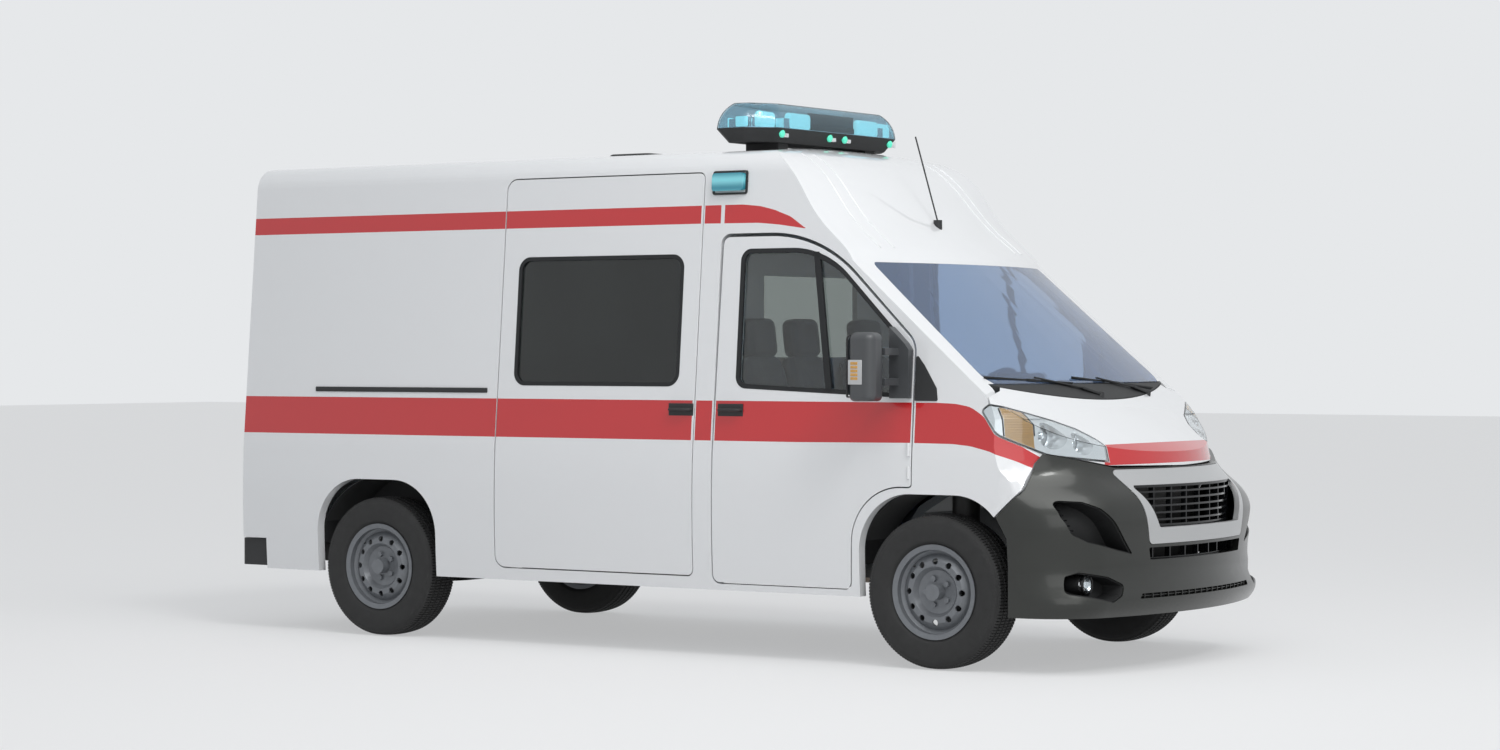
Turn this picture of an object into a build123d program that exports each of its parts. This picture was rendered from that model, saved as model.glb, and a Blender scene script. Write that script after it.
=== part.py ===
from build123d import *
from math import atan2, cos, pi, sin, sqrt
import os

# Ambulance on a high-roof panel van, in millimetres.
# While modelling, +Z is up from the ground, the front points to -Y, the vehicle's left side is +X,
# and Y = 0 is the front axle. At the end every piece moves by BOX_MIDDLE, so that the origin is on
# the ground under the middle of the whole vehicle.

# Driving dimensions of the vehicle
HALF_WIDTH = 1025
WHEELBASE = 3450
FRONT_REACH = -948
REAR_REACH = 4465
BUMPER_TIP = -954.6
BOX_MIDDLE = (BUMPER_TIP + REAR_REACH) / 2
ROOF_TOP = 2562
REAR_FACE = 4395
SILL_LOW = 335
FAR = 1400

# Shell: sheet skin, closed wall of doors and sides, gap between panels
SKIN = 25
WALL = 55
GAP = 6
DOOR_TAPER = 14
HINGE_R = 10

# Wheels, 225/75 R16
TYRE_R = 372
TYRE_W = 225
RIM_R = 209
RIM_LIP_R = 228
BEAD_X = 86
FRONT_TRACK = 1810
REAR_TRACK = 1790
KINGPIN_X = 830
HUB_R = 62
STUB_R = 30

# Heights
FLOOR_TOP = 545
FLOOR_T = 45
CAB_FLOOR_TOP = 500
WAIST_Z = 1020
BELLY_Z = 690
LOAD_START = 1330

# Wheelhouses: half length, inner end, outer end, height where the round top starts
FRONT_HOUSE_R = 452
REAR_HOUSE_R = 426
WHEELHOUSE_X = 645
WHEELHOUSE_OUT = 948
ARCH_SPRING = 600

# Windscreen and brow in plan: height, place of the arc on the centre line, its bow at x = BOW_X
BOW_X = 833
SCREEN_SECTIONS = [
    (1200, -512, 62),
    (1965, 325, 138),
]
BROW_SECTIONS = [
    (1965, 325, 138),
    (2147, 540, 108),
    (2321, 716, 72),
    (2448, 852, 45),
    (2530, 1000, 38),
    (2575, 1230, 36),
]

# Bonnet in cross-section: place, height on the centre line, and how far it has fallen at x = CROWN_X
CROWN_X = 950
CROWN_SECTIONS = [
    (-950, 946, 205),
    (-300, 1345, 33),
]

# Front wall above the bumper: Y and Z on the centre line, turned about a far upright axis
WALL_R = 1500
WALL_CORNER_R = 450
FRONT_WALL = [
    (-905, 240),
    (-948, 430),
    (-935, 600),
    (-905, 800),
    (-850, 920),
    (-818, 975),
    (-797, 1071),
    (-788, 1200),
    (-752, 1320),
    (-660, 1500),
]

# Bumper in plan: height, reach on the centre line, radius of the front arc, radius of the corner
BUMPER_SECTIONS = [
    (240, -905, 2300, 400),
    (430, -946, 2300, 400),
    (620, -943, 2300, 400),
    (785, -940, 2300, 480),
    (872, -900, 1800, 590),
    (961, -835, 1500, 590),
    (1045, -803, 1500, 520),
]

# Planes of the three views
FRONT_VIEW = Plane.XZ.offset(FAR)
SIDE_VIEW = Plane.YZ.offset(-FAR)
DEEP = 8000


def plan_band(z, y_middle, bow):
    """Closed plan outline behind one arc of the windscreen or brow."""
    y_side = y_middle + bow * (FAR / BOW_X) ** 2
    with BuildSketch(Plane.XY.offset(z)) as outline:
        with BuildLine():
            ThreePointArc((-FAR, y_side), (0, y_middle), (FAR, y_side))
            Polyline((FAR, y_side), (FAR, DEEP), (-FAR, DEEP), (-FAR, y_side))
        make_face()
    return outline.sketch


def rounded_front(z, reach, front_r, corner_r, half, back):
    """Plan outline of a front end: one wide arc, two tangent corner arcs and straight sides."""
    axis_y = reach + front_r
    corner_x = half - corner_r
    corner_y = axis_y - sqrt((front_r - corner_r) ** 2 - corner_x**2)
    turn = atan2(corner_x, axis_y - corner_y)
    touch = (front_r * sin(turn), axis_y - front_r * cos(turn))
    middle = pi / 4 + turn / 2
    bend = (corner_x + corner_r * sin(middle), corner_y - corner_r * cos(middle))
    with BuildSketch(Plane.XY.offset(z)) as outline:
        with BuildLine():
            ThreePointArc((-half, corner_y), (-bend[0], bend[1]), (-touch[0], touch[1]))
            ThreePointArc((-touch[0], touch[1]), (0, reach), touch)
            ThreePointArc(touch, bend, (half, corner_y))
            Polyline((half, corner_y), (half, back), (-half, back), (-half, corner_y))
        make_face()
    return outline.sketch


def body_form(inset):
    """The whole body as one solid, its outer face moved in by inset."""
    half = HALF_WIDTH - inset
    wall_axis = FRONT_REACH + WALL_R
    with BuildPart() as nose:
        with BuildSketch(Plane.YZ):
            with BuildLine():
                wall = [(y + inset, z) for y, z in FRONT_WALL]
                Polyline((wall_axis, 190), (wall[0][0], 190), *wall, (-DEEP, wall[-1][1]), (-DEEP, 2700),
                         (wall_axis, 2700), close=True)
            make_face()
        revolve(axis=Axis((0, wall_axis, 0), (0, 0, 1)))
    with BuildPart() as crown:
        for y, middle, fall in CROWN_SECTIONS:
            top = middle - inset * 1.2
            low = top - fall * (FAR / CROWN_X) ** 2
            with BuildSketch(Plane.XZ.offset(-y)):
                with BuildLine():
                    ThreePointArc((-FAR, low), (0, top), (FAR, low))
                    Polyline((FAR, low), (FAR, 0), (-FAR, 0), (-FAR, low))
                make_face()
        loft(ruled=True)
    with BuildPart() as screen:
        for z, y_middle, bow in SCREEN_SECTIONS:
            add(plan_band(z, y_middle + inset * 1.3, bow))
        loft(ruled=True)
        add(nose.part, mode=Mode.INTERSECT)
    with BuildPart() as brow:
        for z, y_middle, bow in BROW_SECTIONS:
            add(plan_band(z, y_middle + inset * 1.3, bow))
        loft()
    with BuildPart() as engine_bay:
        add(rounded_front(200, FRONT_REACH + inset, WALL_R - inset, WALL_CORNER_R - inset, half, 2500))
        extrude(amount=1400)
        add(nose.part, mode=Mode.INTERSECT)
        add(crown.part, mode=Mode.INTERSECT)
    with BuildPart() as form:
        add(screen.part)
        add(brow.part)
        add(engine_bay.part)
        with Locations((0, 200, 705)):
            Box(2 * FAR, 1000, 1110)
        with Locations((0, DEEP / 2 + 600, 850)):
            Box(2 * FAR, DEEP, 1400)
        with BuildSketch(Plane.XZ.offset(-REAR_FACE + inset)) as section:
            low = (half - 22, SILL_LOW - 100)
            roof_edge = (895 - inset, 2518 - inset)
            with BuildLine():
                ThreePointArc(low, (half, BELLY_Z), (half - 6, WAIST_Z))
                Line((half - 6, WAIST_Z), roof_edge)
                ThreePointArc(roof_edge, (0, ROOF_TOP - inset), (-roof_edge[0], roof_edge[1]))
                Line((-roof_edge[0], roof_edge[1]), (6 - half, WAIST_Z))
                ThreePointArc((6 - half, WAIST_Z), (-half, BELLY_Z), (-low[0], low[1]))
                Line((-low[0], low[1]), low)
            make_face()
            fillet(section.vertices().group_by(Axis.Y)[-1], 130 - inset / 2)
        extrude(amount=6000, mode=Mode.INTERSECT)
    return form.part


def bumper_form(inset):
    """The bumper's outer block, its face moved in by inset."""
    with BuildPart() as block:
        for z, reach, front_r, corner_r in BUMPER_SECTIONS:
            add(rounded_front(z, reach + inset, front_r - inset, corner_r - inset, HALF_WIDTH - inset, 300))
        loft()
    return block.part


def view_outline(view, points, radii, grow=0):
    """Closed outline of straight runs with rounded corners on one view's plane, made larger by grow."""
    with BuildSketch(view) as outline:
        with BuildLine():
            if radii:
                FilletPolyline(*points, radius=radii, close=True)
            else:
                Polyline(*points, close=True)
        make_face()
        if grow:
            offset(amount=grow, kind=Kind.INTERSECTION)
    return outline.sketch


def front_cut(points, radii, grow=0, depth=DEEP):
    """A cutter: a front view outline run backwards through the body."""
    with BuildPart() as cutter:
        extrude(view_outline(FRONT_VIEW, points, radii, grow), amount=depth, dir=(0, 1, 0))
    return cutter.part


def side_cut(points, radii, grow=0, depth=FAR - 1):
    """A cutter: a side view outline run inwards from the vehicle's right."""
    with BuildPart() as cutter:
        extrude(view_outline(SIDE_VIEW, points, radii, grow), amount=depth, dir=(1, 0, 0))
    return cutter.part


def both_sides(points):
    """Front view outline made symmetric from its right-hand half, listed from the bottom up."""
    return [(-x, z) for x, z in points] + [(x, z) for x, z in reversed(points)]


# Body surfaces at the depths that panels, glass and linings need
outer_form = body_form(0)
glass_form = body_form(5)
skin_form = body_form(SKIN)
wall_form = body_form(WALL)

# Side view outlines: corner points and the radius at each
DOOR_POINTS = [(115, 872), (115, 1567), (683, 2103), (1268, 2103), (1268, 372), (458, 372), (445, 872)]
DOOR_RADII = [14, 120, 740, 50, 40, 30, 280]
DOOR_WINDOW = [(1148, 1340), (1148, 2031), (652, 2031), (225, 1618), (215, 1300)]
DOOR_WINDOW_RADII = [60, 60, 480, 40, 40]
SLIDE_POINTS = [(1392, 402), (1392, 2416), (2640, 2416), (2640, 402)]
SLIDE_RADII = [30, 30, 60, 60]
SLIDE_WINDOW = [(1492, 1345), (1492, 2010), (2540, 2010), (2540, 1345)]
SLIDE_WINDOW_RADII = [70, 70, 70, 70]
ARCH_POINTS = [(-411, -600), (-411, 838), (407, 838), (407, -600)]
ARCH_RADII = [20, 285, 285, 20]
REAR_DOOR_HALF = 790
REAR_DOOR_LOW = 535
REAR_DOOR_HIGH = 2330

# Zones that share out the front of the body, from the front
SCREEN_ZONE = [(893, 1366), (836, 1958)]
ROOF_ZONE = [(826, 1940), (826, 2438), (FAR, 2438), (FAR, 2900)]
# Lamp: outer outline from the front, and its rear edge from the side
LAMP_FRONT = [(545, 972), (1100, 1095), (1100, 1295), (702, 1190), (600, 1148), (545, 1098)]
LAMP_FRONT_RADII = [8, 1, 1, 120, 60, 30]
LAMP_SIDE = [(-1200, 900), (-520, 1030), (-345, 1126), (-262, 1240), (-315, 1280), (-1200, 1280)]
LAMP_SIDE_RADII = [1, 60, 90, 18, 40, 1]
# Lamp housing: how far its face and back lie behind the body's face, and its reflector bowls
HOUSING_FACE = 8
HOUSING_BACK = 112
BOWLS = [((-790, -458, 1120), 60), ((-656, -552, 1080), 48)]
INDICATOR_X = (866, 968)
# Panel in front of the door: its edges from the side
FENDER_SIDE = [(-342, 741), (-470, 866), (-484, 992), (-510, 1040), (-700, 1100), (-303, 1263), (-275, 1333),
               (-229, 1384), (-20, 1290), (109, 1282), (109, 700)]
FRONT_SIDE = [(109, 100), (109, 1282), (-20, 1290), (-229, 1384), (-229, 1700), (-1400, 1700), (-1400, 100)]
BONNET_SIDE = [(-1300, 960), (-1300, 1600), (-240, 1384), (-286, 1333), (-311, 1263), (-500, 960)]
BUMPER_SIDE = [(-1400, 1060), (-521, 1060), (-518, 1040), (-492, 992), (-478, 866), (-352, 739), (-411, 640),
               (-419, 500), (-419, 200), (-1400, 200)]
BUMPER_FRONT = [(0, 962), (545, 966), (1300, 1132), (1300, 200), (0, 200)]


def mirrored(points):
    """A symmetric front view outline from the half that starts and ends on the centre line."""
    return points + [(-x, z) for x, z in reversed(points[1:-1])]


screen_zone = front_cut(both_sides(SCREEN_ZONE), [50, 30, 30, 50])
roof_zone = front_cut(both_sides(ROOF_ZONE), 0)
door_hole = side_cut(DOOR_POINTS, DOOR_RADII, GAP)
slide_hole = side_cut(SLIDE_POINTS, SLIDE_RADII, GAP)
arch_hole = side_cut(ARCH_POINTS, ARCH_RADII, 0, FAR - 900)
with BuildPart() as rear_arch_hole:
    with Locations((0, WHEELBASE, 0)):
        add(arch_hole)
with BuildPart() as lamp_zone:
    add(front_cut([(-x, z) for x, z in LAMP_FRONT], LAMP_FRONT_RADII, 0, 1600))
    add(side_cut(LAMP_SIDE, LAMP_SIDE_RADII), mode=Mode.INTERSECT)
with BuildPart() as lamp_hole:
    add(front_cut([(-x, z) for x, z in LAMP_FRONT], LAMP_FRONT_RADII, 5, 1600))
    add(side_cut(LAMP_SIDE, LAMP_SIDE_RADII, 5), mode=Mode.INTERSECT)

# Closed wall of the body above the sill, and the sheet skin in front of the doors
with BuildPart() as wall_shell:
    add(outer_form)
    add(wall_form, mode=Mode.SUBTRACT)
    with Locations((0, 2000, SILL_LOW + 1500)):
        Box(2 * FAR, DEEP, 3000, mode=Mode.INTERSECT)
with BuildPart() as skin_shell:
    add(outer_form)
    add(skin_form, mode=Mode.SUBTRACT)
    with Locations((0, -500, 1400)):
        Box(2 * FAR, 1300, 2400, mode=Mode.INTERSECT)
with BuildPart() as glass_shell:
    add(outer_form)
    add(glass_form, mode=Mode.SUBTRACT)
    with Locations((0, -200, 1500)):
        Box(2 * FAR, 1700, 1400, mode=Mode.INTERSECT)

# Windscreen
with BuildPart() as windscreen:
    add(glass_shell.part)
    add(screen_zone, mode=Mode.INTERSECT)

# Roof with its brow
with BuildPart() as roof:
    add(wall_shell.part)
    add(roof_zone, mode=Mode.INTERSECT)
    add(screen_zone, mode=Mode.SUBTRACT)
    with Locations((0, REAR_FACE, REAR_DOOR_HIGH - 900)):
        Box(2 * REAR_DOOR_HALF + 2 * GAP, 400, 1800 + 2 * GAP, mode=Mode.SUBTRACT)

# Right side panel: pillars, cant rail, sill and rear quarter, with its door, window and wheel openings
with BuildPart() as side_panel_right:
    add(wall_shell.part)
    with Locations((-FAR / 2 - 700, 2000, 1500)):
        Box(FAR, DEEP, 4000, mode=Mode.INTERSECT)
    add(roof_zone, mode=Mode.SUBTRACT)
    add(screen_zone, mode=Mode.SUBTRACT)
    add(door_hole, mode=Mode.SUBTRACT)
    add(slide_hole, mode=Mode.SUBTRACT)
    add(arch_hole, mode=Mode.SUBTRACT)
    add(rear_arch_hole.part, mode=Mode.SUBTRACT)
    add(side_cut(FRONT_SIDE, 0), mode=Mode.SUBTRACT)
    with Locations((0, REAR_FACE, (REAR_DOOR_LOW + REAR_DOOR_HIGH) / 2)):
        Box(2 * REAR_DOOR_HALF + 2 * GAP, 400, REAR_DOOR_HIGH - REAR_DOOR_LOW + 2 * GAP, mode=Mode.SUBTRACT)
    with Locations((100 - HALF_WIDTH, REAR_FACE, 300)):
        Box(700, 332, 402, mode=Mode.SUBTRACT)
# The left side has one fixed window panel where the right side has its sliding door
with BuildPart() as slide_blank:
    add(wall_shell.part)
    add(slide_hole, mode=Mode.INTERSECT)
with BuildPart() as side_panel_left:
    mirror(side_panel_right.part, about=Plane.YZ)
    mirror(slide_blank.part, about=Plane.YZ)
    mirror(side_cut(SLIDE_WINDOW, SLIDE_WINDOW_RADII), about=Plane.YZ, mode=Mode.SUBTRACT)

# Sliding door, shut: it moves out and then back, so it has no joint
with BuildPart() as sliding_door:
    add(wall_shell.part)
    add(side_cut(SLIDE_POINTS, SLIDE_RADII), mode=Mode.INTERSECT)
    add(side_cut(SLIDE_WINDOW, SLIDE_WINDOW_RADII), mode=Mode.SUBTRACT)

# Front door: its inner face is smaller than its skin, so that its rear edge swings out freely
with BuildPart() as door_wedge:
    extrude(view_outline(Plane.YZ.offset(-HALF_WIDTH), DOOR_POINTS, DOOR_RADII), amount=170,
            dir=(1, 0, 0), taper=DOOR_TAPER / 2)
with BuildPart() as front_door_right:
    add(wall_shell.part)
    add(door_wedge.part, mode=Mode.INTERSECT)
    add(side_cut(DOOR_WINDOW, DOOR_WINDOW_RADII), mode=Mode.SUBTRACT)
    with Locations((-1020, 130, 940), (-1020, 130, 1050)):
        Cylinder(HINGE_R, 60)


def largest(part):
    """The biggest solid of a cut shell, without the slivers that fall off its far side."""
    return part.solids().sort_by(SortBy.VOLUME)[-1]


def side_glazing(points, radii, outer_inset, inner_inset):
    """Flat-sided glass that follows the side of the body between two depths."""
    def depth_section(inset):
        half = HALF_WIDTH - inset
        with BuildSketch(Plane.XZ.offset(-REAR_FACE)) as section:
            with BuildLine():
                Polyline((-half + 6, WAIST_Z), (-895 + inset, 2518), (0, 2518), (0, WAIST_Z), close=True)
            make_face()
        return section.sketch
    with BuildPart() as pane:
        extrude(depth_section(outer_inset), amount=5000, dir=(0, -1, 0))
        extrude(depth_section(inner_inset), amount=5000, dir=(0, -1, 0), mode=Mode.SUBTRACT)
        add(side_cut(points, radii), mode=Mode.INTERSECT)
    return pane.part


with BuildPart() as front_glass_right:
    add(side_glazing(DOOR_WINDOW, DOOR_WINDOW_RADII, 14, 19))
with BuildPart() as sliding_glass:
    add(side_glazing(SLIDE_WINDOW, SLIDE_WINDOW_RADII, 10, 15))

# Bonnet, fender, cowl and lamp share the skin in front of the doors
with BuildPart() as bonnet:
    add(skin_shell.part)
    add(side_cut(BONNET_SIDE, 0, depth=2 * FAR), mode=Mode.INTERSECT)
    add(front_cut(mirrored([(0, 968), (548, 977), (871, 1047), (1300, 1142), (1300, 1700), (0, 1700)]), 0),
        mode=Mode.INTERSECT)
    add(lamp_hole.part, mode=Mode.SUBTRACT)
    mirror(lamp_hole.part, about=Plane.YZ, mode=Mode.SUBTRACT)
    with BuildSketch(Plane.XY.offset(900)):
        with BuildLine():
            ThreePointArc((-890, -254), (0, -422), (890, -254))
            Polyline((890, -254), (1300, -430), (1300, -1400), (-1300, -1400), (-1300, -430), (-890, -254))
        make_face()
    extrude(amount=900, mode=Mode.INTERSECT)
with BuildPart() as cowl:
    add(skin_shell.part)
    add(front_cut(both_sides([(897, 1180), (897, 1361)]), 0), mode=Mode.INTERSECT)
    with BuildSketch(Plane.XY.offset(900)):
        with BuildLine():
            ThreePointArc((-897, -246), (0, -416), (897, -246))
            Polyline((897, -246), (897, 400), (-897, 400), (-897, -246))
        make_face()
    extrude(amount=900, mode=Mode.INTERSECT)
with BuildPart() as fender_right:
    add(skin_shell.part)
    add(side_cut(FENDER_SIDE, 0), mode=Mode.INTERSECT)
    with Locations((-FAR / 2 - 700, 0, 1000)):
        Box(FAR, 4000, 3000, mode=Mode.INTERSECT)
    add(arch_hole, mode=Mode.SUBTRACT)
    add(lamp_hole.part, mode=Mode.SUBTRACT)
    add(front_cut(both_sides([(901, 1180), (901, 1366)]), 0), mode=Mode.SUBTRACT)
    add(screen_zone, mode=Mode.SUBTRACT)
    add(door_hole, mode=Mode.SUBTRACT)
with BuildPart() as headlamp_lens_right:
    add(glass_shell.part)
    add(lamp_zone.part, mode=Mode.INTERSECT)


def reflector_bowl(spot, radius):
    """Cutter for one reflector: a domed back and a slightly flared way out to the front."""
    with BuildPart() as bowl:
        with BuildSketch(Plane(origin=spot, x_dir=(1, 0, 0), z_dir=(0, 0, 1))):
            with BuildLine():
                ThreePointArc((0, 0.9 * radius), (0.72 * radius, 0.6 * radius), (radius, 0))
                Polyline((radius, 0), (radius + 12, -300), (0, -300), (0, 0.9 * radius))
            make_face()
        revolve(axis=Axis(spot, (0, 1, 0)))
    return bowl.part


with BuildPart() as indicator_right:
    add(body_form(HOUSING_FACE))
    add(body_form(HOUSING_FACE + 14), mode=Mode.SUBTRACT)
    add(front_cut([(-x, z) for x, z in LAMP_FRONT], LAMP_FRONT_RADII, -5, 1600), mode=Mode.INTERSECT)
    add(side_cut(LAMP_SIDE, LAMP_SIDE_RADII, -5), mode=Mode.INTERSECT)
    with Locations((-sum(INDICATOR_X) / 2, 0, 1100)):
        Box(INDICATOR_X[1] - INDICATOR_X[0], 1600, 600, mode=Mode.INTERSECT)
with BuildPart() as headlamp_right:
    add(body_form(HOUSING_FACE))
    add(body_form(HOUSING_BACK), mode=Mode.SUBTRACT)
    add(front_cut([(-x, z) for x, z in LAMP_FRONT], LAMP_FRONT_RADII, -4, 1600), mode=Mode.INTERSECT)
    add(side_cut(LAMP_SIDE, LAMP_SIDE_RADII, -4), mode=Mode.INTERSECT)
    add(indicator_right.part, mode=Mode.SUBTRACT)
    for spot, radius in BOWLS:
        add(reflector_bowl(spot, radius), mode=Mode.SUBTRACT)

# Bumper: one moulding with holes for the grille, the intake, the side pockets and the fog lamps
bumper_face = bumper_form(0)
bumper_back = bumper_form(32)
bumper_side = side_cut(BUMPER_SIDE, 0, depth=2 * FAR)
bumper_front = front_cut(mirrored(BUMPER_FRONT), 0)
GRILLE_FRAME = [(492, 606), (580, 958)]
GRILLE_HOLE = [(425, 683), (535, 884)]
INTAKE = [(478, 531), (492, 590)]
POCKET = [(603, 562), (663, 631), (735, 722), (796, 785), (853, 816), (952, 824), (952, 745), (928, 663),
          (866, 626), (712, 585)]
POCKET_RADII = [4, 30, 30, 30, 30, 30, 30, 30, 30, 30]
FOG_POCKET = [(672, 421), (760, 462), (892, 487), (938, 470), (962, 385), (764, 342), (700, 372)]
FOG_RADII = [18, 18, 18, 18, 18, 18, 14]
LOWER_SLOTS = [(588, 352), (565, 376)]


def pocket_pair(grow):
    """Cutters for the side pocket and the fog lamp pocket, on both sides."""
    with BuildPart() as cutters:
        add(front_cut(POCKET, POCKET_RADII, grow, depth=1300))
        add(front_cut(FOG_POCKET, FOG_RADII, grow, depth=1300))
        mirror(about=Plane.YZ)
    return cutters.part


with BuildPart() as front_bumper:
    add(bumper_face)
    add(bumper_back, mode=Mode.SUBTRACT)
    add(pocket_pair(0), mode=Mode.SUBTRACT)
    add(bumper_side, mode=Mode.INTERSECT)
    add(bumper_front, mode=Mode.INTERSECT)
    add(front_cut(both_sides(GRILLE_FRAME), 28, 2, depth=1400), mode=Mode.SUBTRACT)
    add(front_cut(both_sides(INTAKE), 8, depth=1400), mode=Mode.SUBTRACT)
    add(front_cut(both_sides(LOWER_SLOTS), 5, depth=1400), mode=Mode.SUBTRACT)
    with Locations((0, 0, 130)):
        Box(3000, 3000, 280, mode=Mode.SUBTRACT)

# Black inserts behind the bumper: deep pocket tubs, fog lamp tubs, the slot's backing and the undertray
POCKET_DEPTH = 112
TUB_END = -488
with BuildPart() as tub_zone:
    add(pocket_pair(-1))
    add(bumper_form(8), mode=Mode.INTERSECT)
    with Locations((0, TUB_END - 400, 600)):
        Box(2 * FAR, 800, 900, mode=Mode.INTERSECT)
with BuildPart() as pocket_tubs:
    add(tub_zone.part)
    add(bumper_form(POCKET_DEPTH), mode=Mode.SUBTRACT)
with BuildPart() as tub_ends:
    add(tub_zone.part)
    with Locations((0, TUB_END, 600)):
        Box(2 * FAR, 12, 900, mode=Mode.INTERSECT)
with BuildPart() as pocket_space:
    add(pocket_pair(-6))
    add(bumper_form(POCKET_DEPTH - 6), mode=Mode.SUBTRACT)
with BuildPart() as bumper_inserts:
    add(pocket_tubs.part)
    add(pocket_space.part, mode=Mode.SUBTRACT)
    add(tub_ends.part)
    for side in (-1, 1):
        with BuildSketch(Plane.XZ.offset(640)):
            with Locations((side * 831, 425)):
                Circle(44)
        extrude(amount=70)
with BuildPart() as slot_backing:
    add(bumper_form(34))
    add(bumper_form(42), mode=Mode.SUBTRACT)
    with Locations((0, -850, 364)):
        Box(1260, 500, 36, mode=Mode.INTERSECT)
with BuildPart() as undertray:
    add(bumper_form(34))
    with Locations((0, -665, 277)):
        Box(1900, 450, 8, mode=Mode.INTERSECT)
with BuildPart() as bumper_insert_set:
    add(bumper_inserts.part)
    add(slot_backing.part)
    add(undertray.part)

# Silver surround and the barred grille inside it
with BuildPart() as grille_surround:
    add(bumper_form(-3))
    add(bumper_form(26), mode=Mode.SUBTRACT)
    add(front_cut(both_sides(GRILLE_FRAME), 28, depth=1400), mode=Mode.INTERSECT)
    add(front_cut(both_sides(GRILLE_HOLE), 14, depth=1400), mode=Mode.SUBTRACT)


def curved_band(low, high, reach, thick):
    """An upright strip across the front that bows as the body does."""
    with BuildPart() as band:
        front = rounded_front(low, reach, WALL_R, WALL_CORNER_R, HALF_WIDTH, 300)
        extrude(front, amount=high - low, dir=(0, 0, 1))
        inner = HALF_WIDTH - thick
        back = rounded_front(low, reach + thick, WALL_R - thick, WALL_CORNER_R - thick, inner, 300)
        extrude(back, amount=high - low, dir=(0, 0, 1), mode=Mode.SUBTRACT)
    return band.part


GRILLE_REACH = -906
GRILLE_BARS = 5
GRILLE_POSTS = 7
BAR_SPACING = 128
BAR_DEPTH = 26
with BuildPart() as lattice:
    low, high = GRILLE_HOLE[0][1], GRILLE_HOLE[1][1]
    add(front_cut(both_sides(GRILLE_HOLE), 14, depth=1400))
    add(front_cut(both_sides(GRILLE_HOLE), 14, -12, depth=1400), mode=Mode.SUBTRACT)
    for row in range(GRILLE_BARS):
        with Locations((0, -700, low + (high - low) * (row + 1) / (GRILLE_BARS + 1))):
            Box(1200, 1400, 9)
    for column in range(GRILLE_POSTS):
        with Locations(((column - (GRILLE_POSTS - 1) / 2) * BAR_SPACING, -700, (low + high) / 2)):
            Box(7, 1400, high - low)
    add(front_cut(both_sides(GRILLE_HOLE), 14, depth=1400), mode=Mode.INTERSECT)
    add(curved_band(600, 950, GRILLE_REACH, BAR_DEPTH), mode=Mode.INTERSECT)
with BuildPart() as fins:
    add(front_cut(both_sides(INTAKE), 8, 12, depth=1400))
    add(front_cut(both_sides(INTAKE), 8, -6, depth=1400), mode=Mode.SUBTRACT)
    for column in range(GRILLE_POSTS):
        with Locations(((column - (GRILLE_POSTS - 1) / 2) * BAR_SPACING, -700, 560)):
            Box(8, 1400, 90)
    add(front_cut(both_sides(INTAKE), 8, 12, depth=1400), mode=Mode.INTERSECT)
    add(curved_band(500, 620, -900, BAR_DEPTH), mode=Mode.INTERSECT)
with BuildPart() as grille:
    add(lattice.part)
    add(fins.part)
with BuildPart() as radiator:
    with Locations((0, -640, 672)):
        Box(900, 70, 430)

# Floor, firewall and the frame rails under them
with BuildPart() as firewall:
    with BuildSketch(SIDE_VIEW):
        with BuildLine():
            Polyline((482, 455), (482, 500), (300, 760), (60, 900), (20, 1180), (-20, 1180), (20, 880),
                     (270, 730), (440, 470), close=True)
        make_face()
    extrude(amount=2 * FAR)
    with Locations((0, 0, 800)):
        Box(2 * 635, 2000, 1200, mode=Mode.INTERSECT)
with BuildPart() as floor:
    with Locations((0, (LOAD_START + REAR_FACE - WALL) / 2, FLOOR_TOP - FLOOR_T / 2)):
        Box(2 * (HALF_WIDTH - WALL - 12), REAR_FACE - WALL - LOAD_START - 2, FLOOR_T)
    with Locations((-WHEELHOUSE_X - 200, WHEELBASE, FLOOR_TOP), (WHEELHOUSE_X + 200, WHEELBASE, FLOOR_TOP)):
        Box(400, 2 * REAR_HOUSE_R, 300, mode=Mode.SUBTRACT)
    with Locations((0, (480 + LOAD_START) / 2, CAB_FLOOR_TOP - FLOOR_T / 2)):
        Box(2 * (HALF_WIDTH - WALL - 12), LOAD_START - 480, FLOOR_T)
    with Locations((0, LOAD_START, (FLOOR_TOP + CAB_FLOOR_TOP - FLOOR_T) / 2)):
        Box(2 * (HALF_WIDTH - WALL - 12), 30, FLOOR_TOP - CAB_FLOOR_TOP + FLOOR_T)
    add(firewall.part)
with BuildPart() as frame_rails:
    for side in (-430, 430):
        with Locations((side, 335, 420)):
            Box(90, 2130, 68)
        with Locations((side, (LOAD_START + 16 + 4300) / 2, 465)):
            Box(90, 4300 - LOAD_START - 16, 68)
    for y, z in ((900, 420), (1900, 465), (2900, 465), (4000, 465)):
        with Locations((0, y, z)):
            Box(860, 70, 60)
with BuildPart() as engine:
    with Locations((60, -330, 760)):
        Box(720, 440, 520)

# Partition behind the seats, with a window
with BuildPart() as partition:
    with Locations((0, LOAD_START + 20, (FLOOR_TOP + 2400) / 2)):
        Box(1800, 30, 2400 - FLOOR_TOP)
    with Locations((0, LOAD_START + 20, 1700)):
        Box(900, 60, 420, mode=Mode.SUBTRACT)
    add(wall_form, mode=Mode.INTERSECT)

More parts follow.
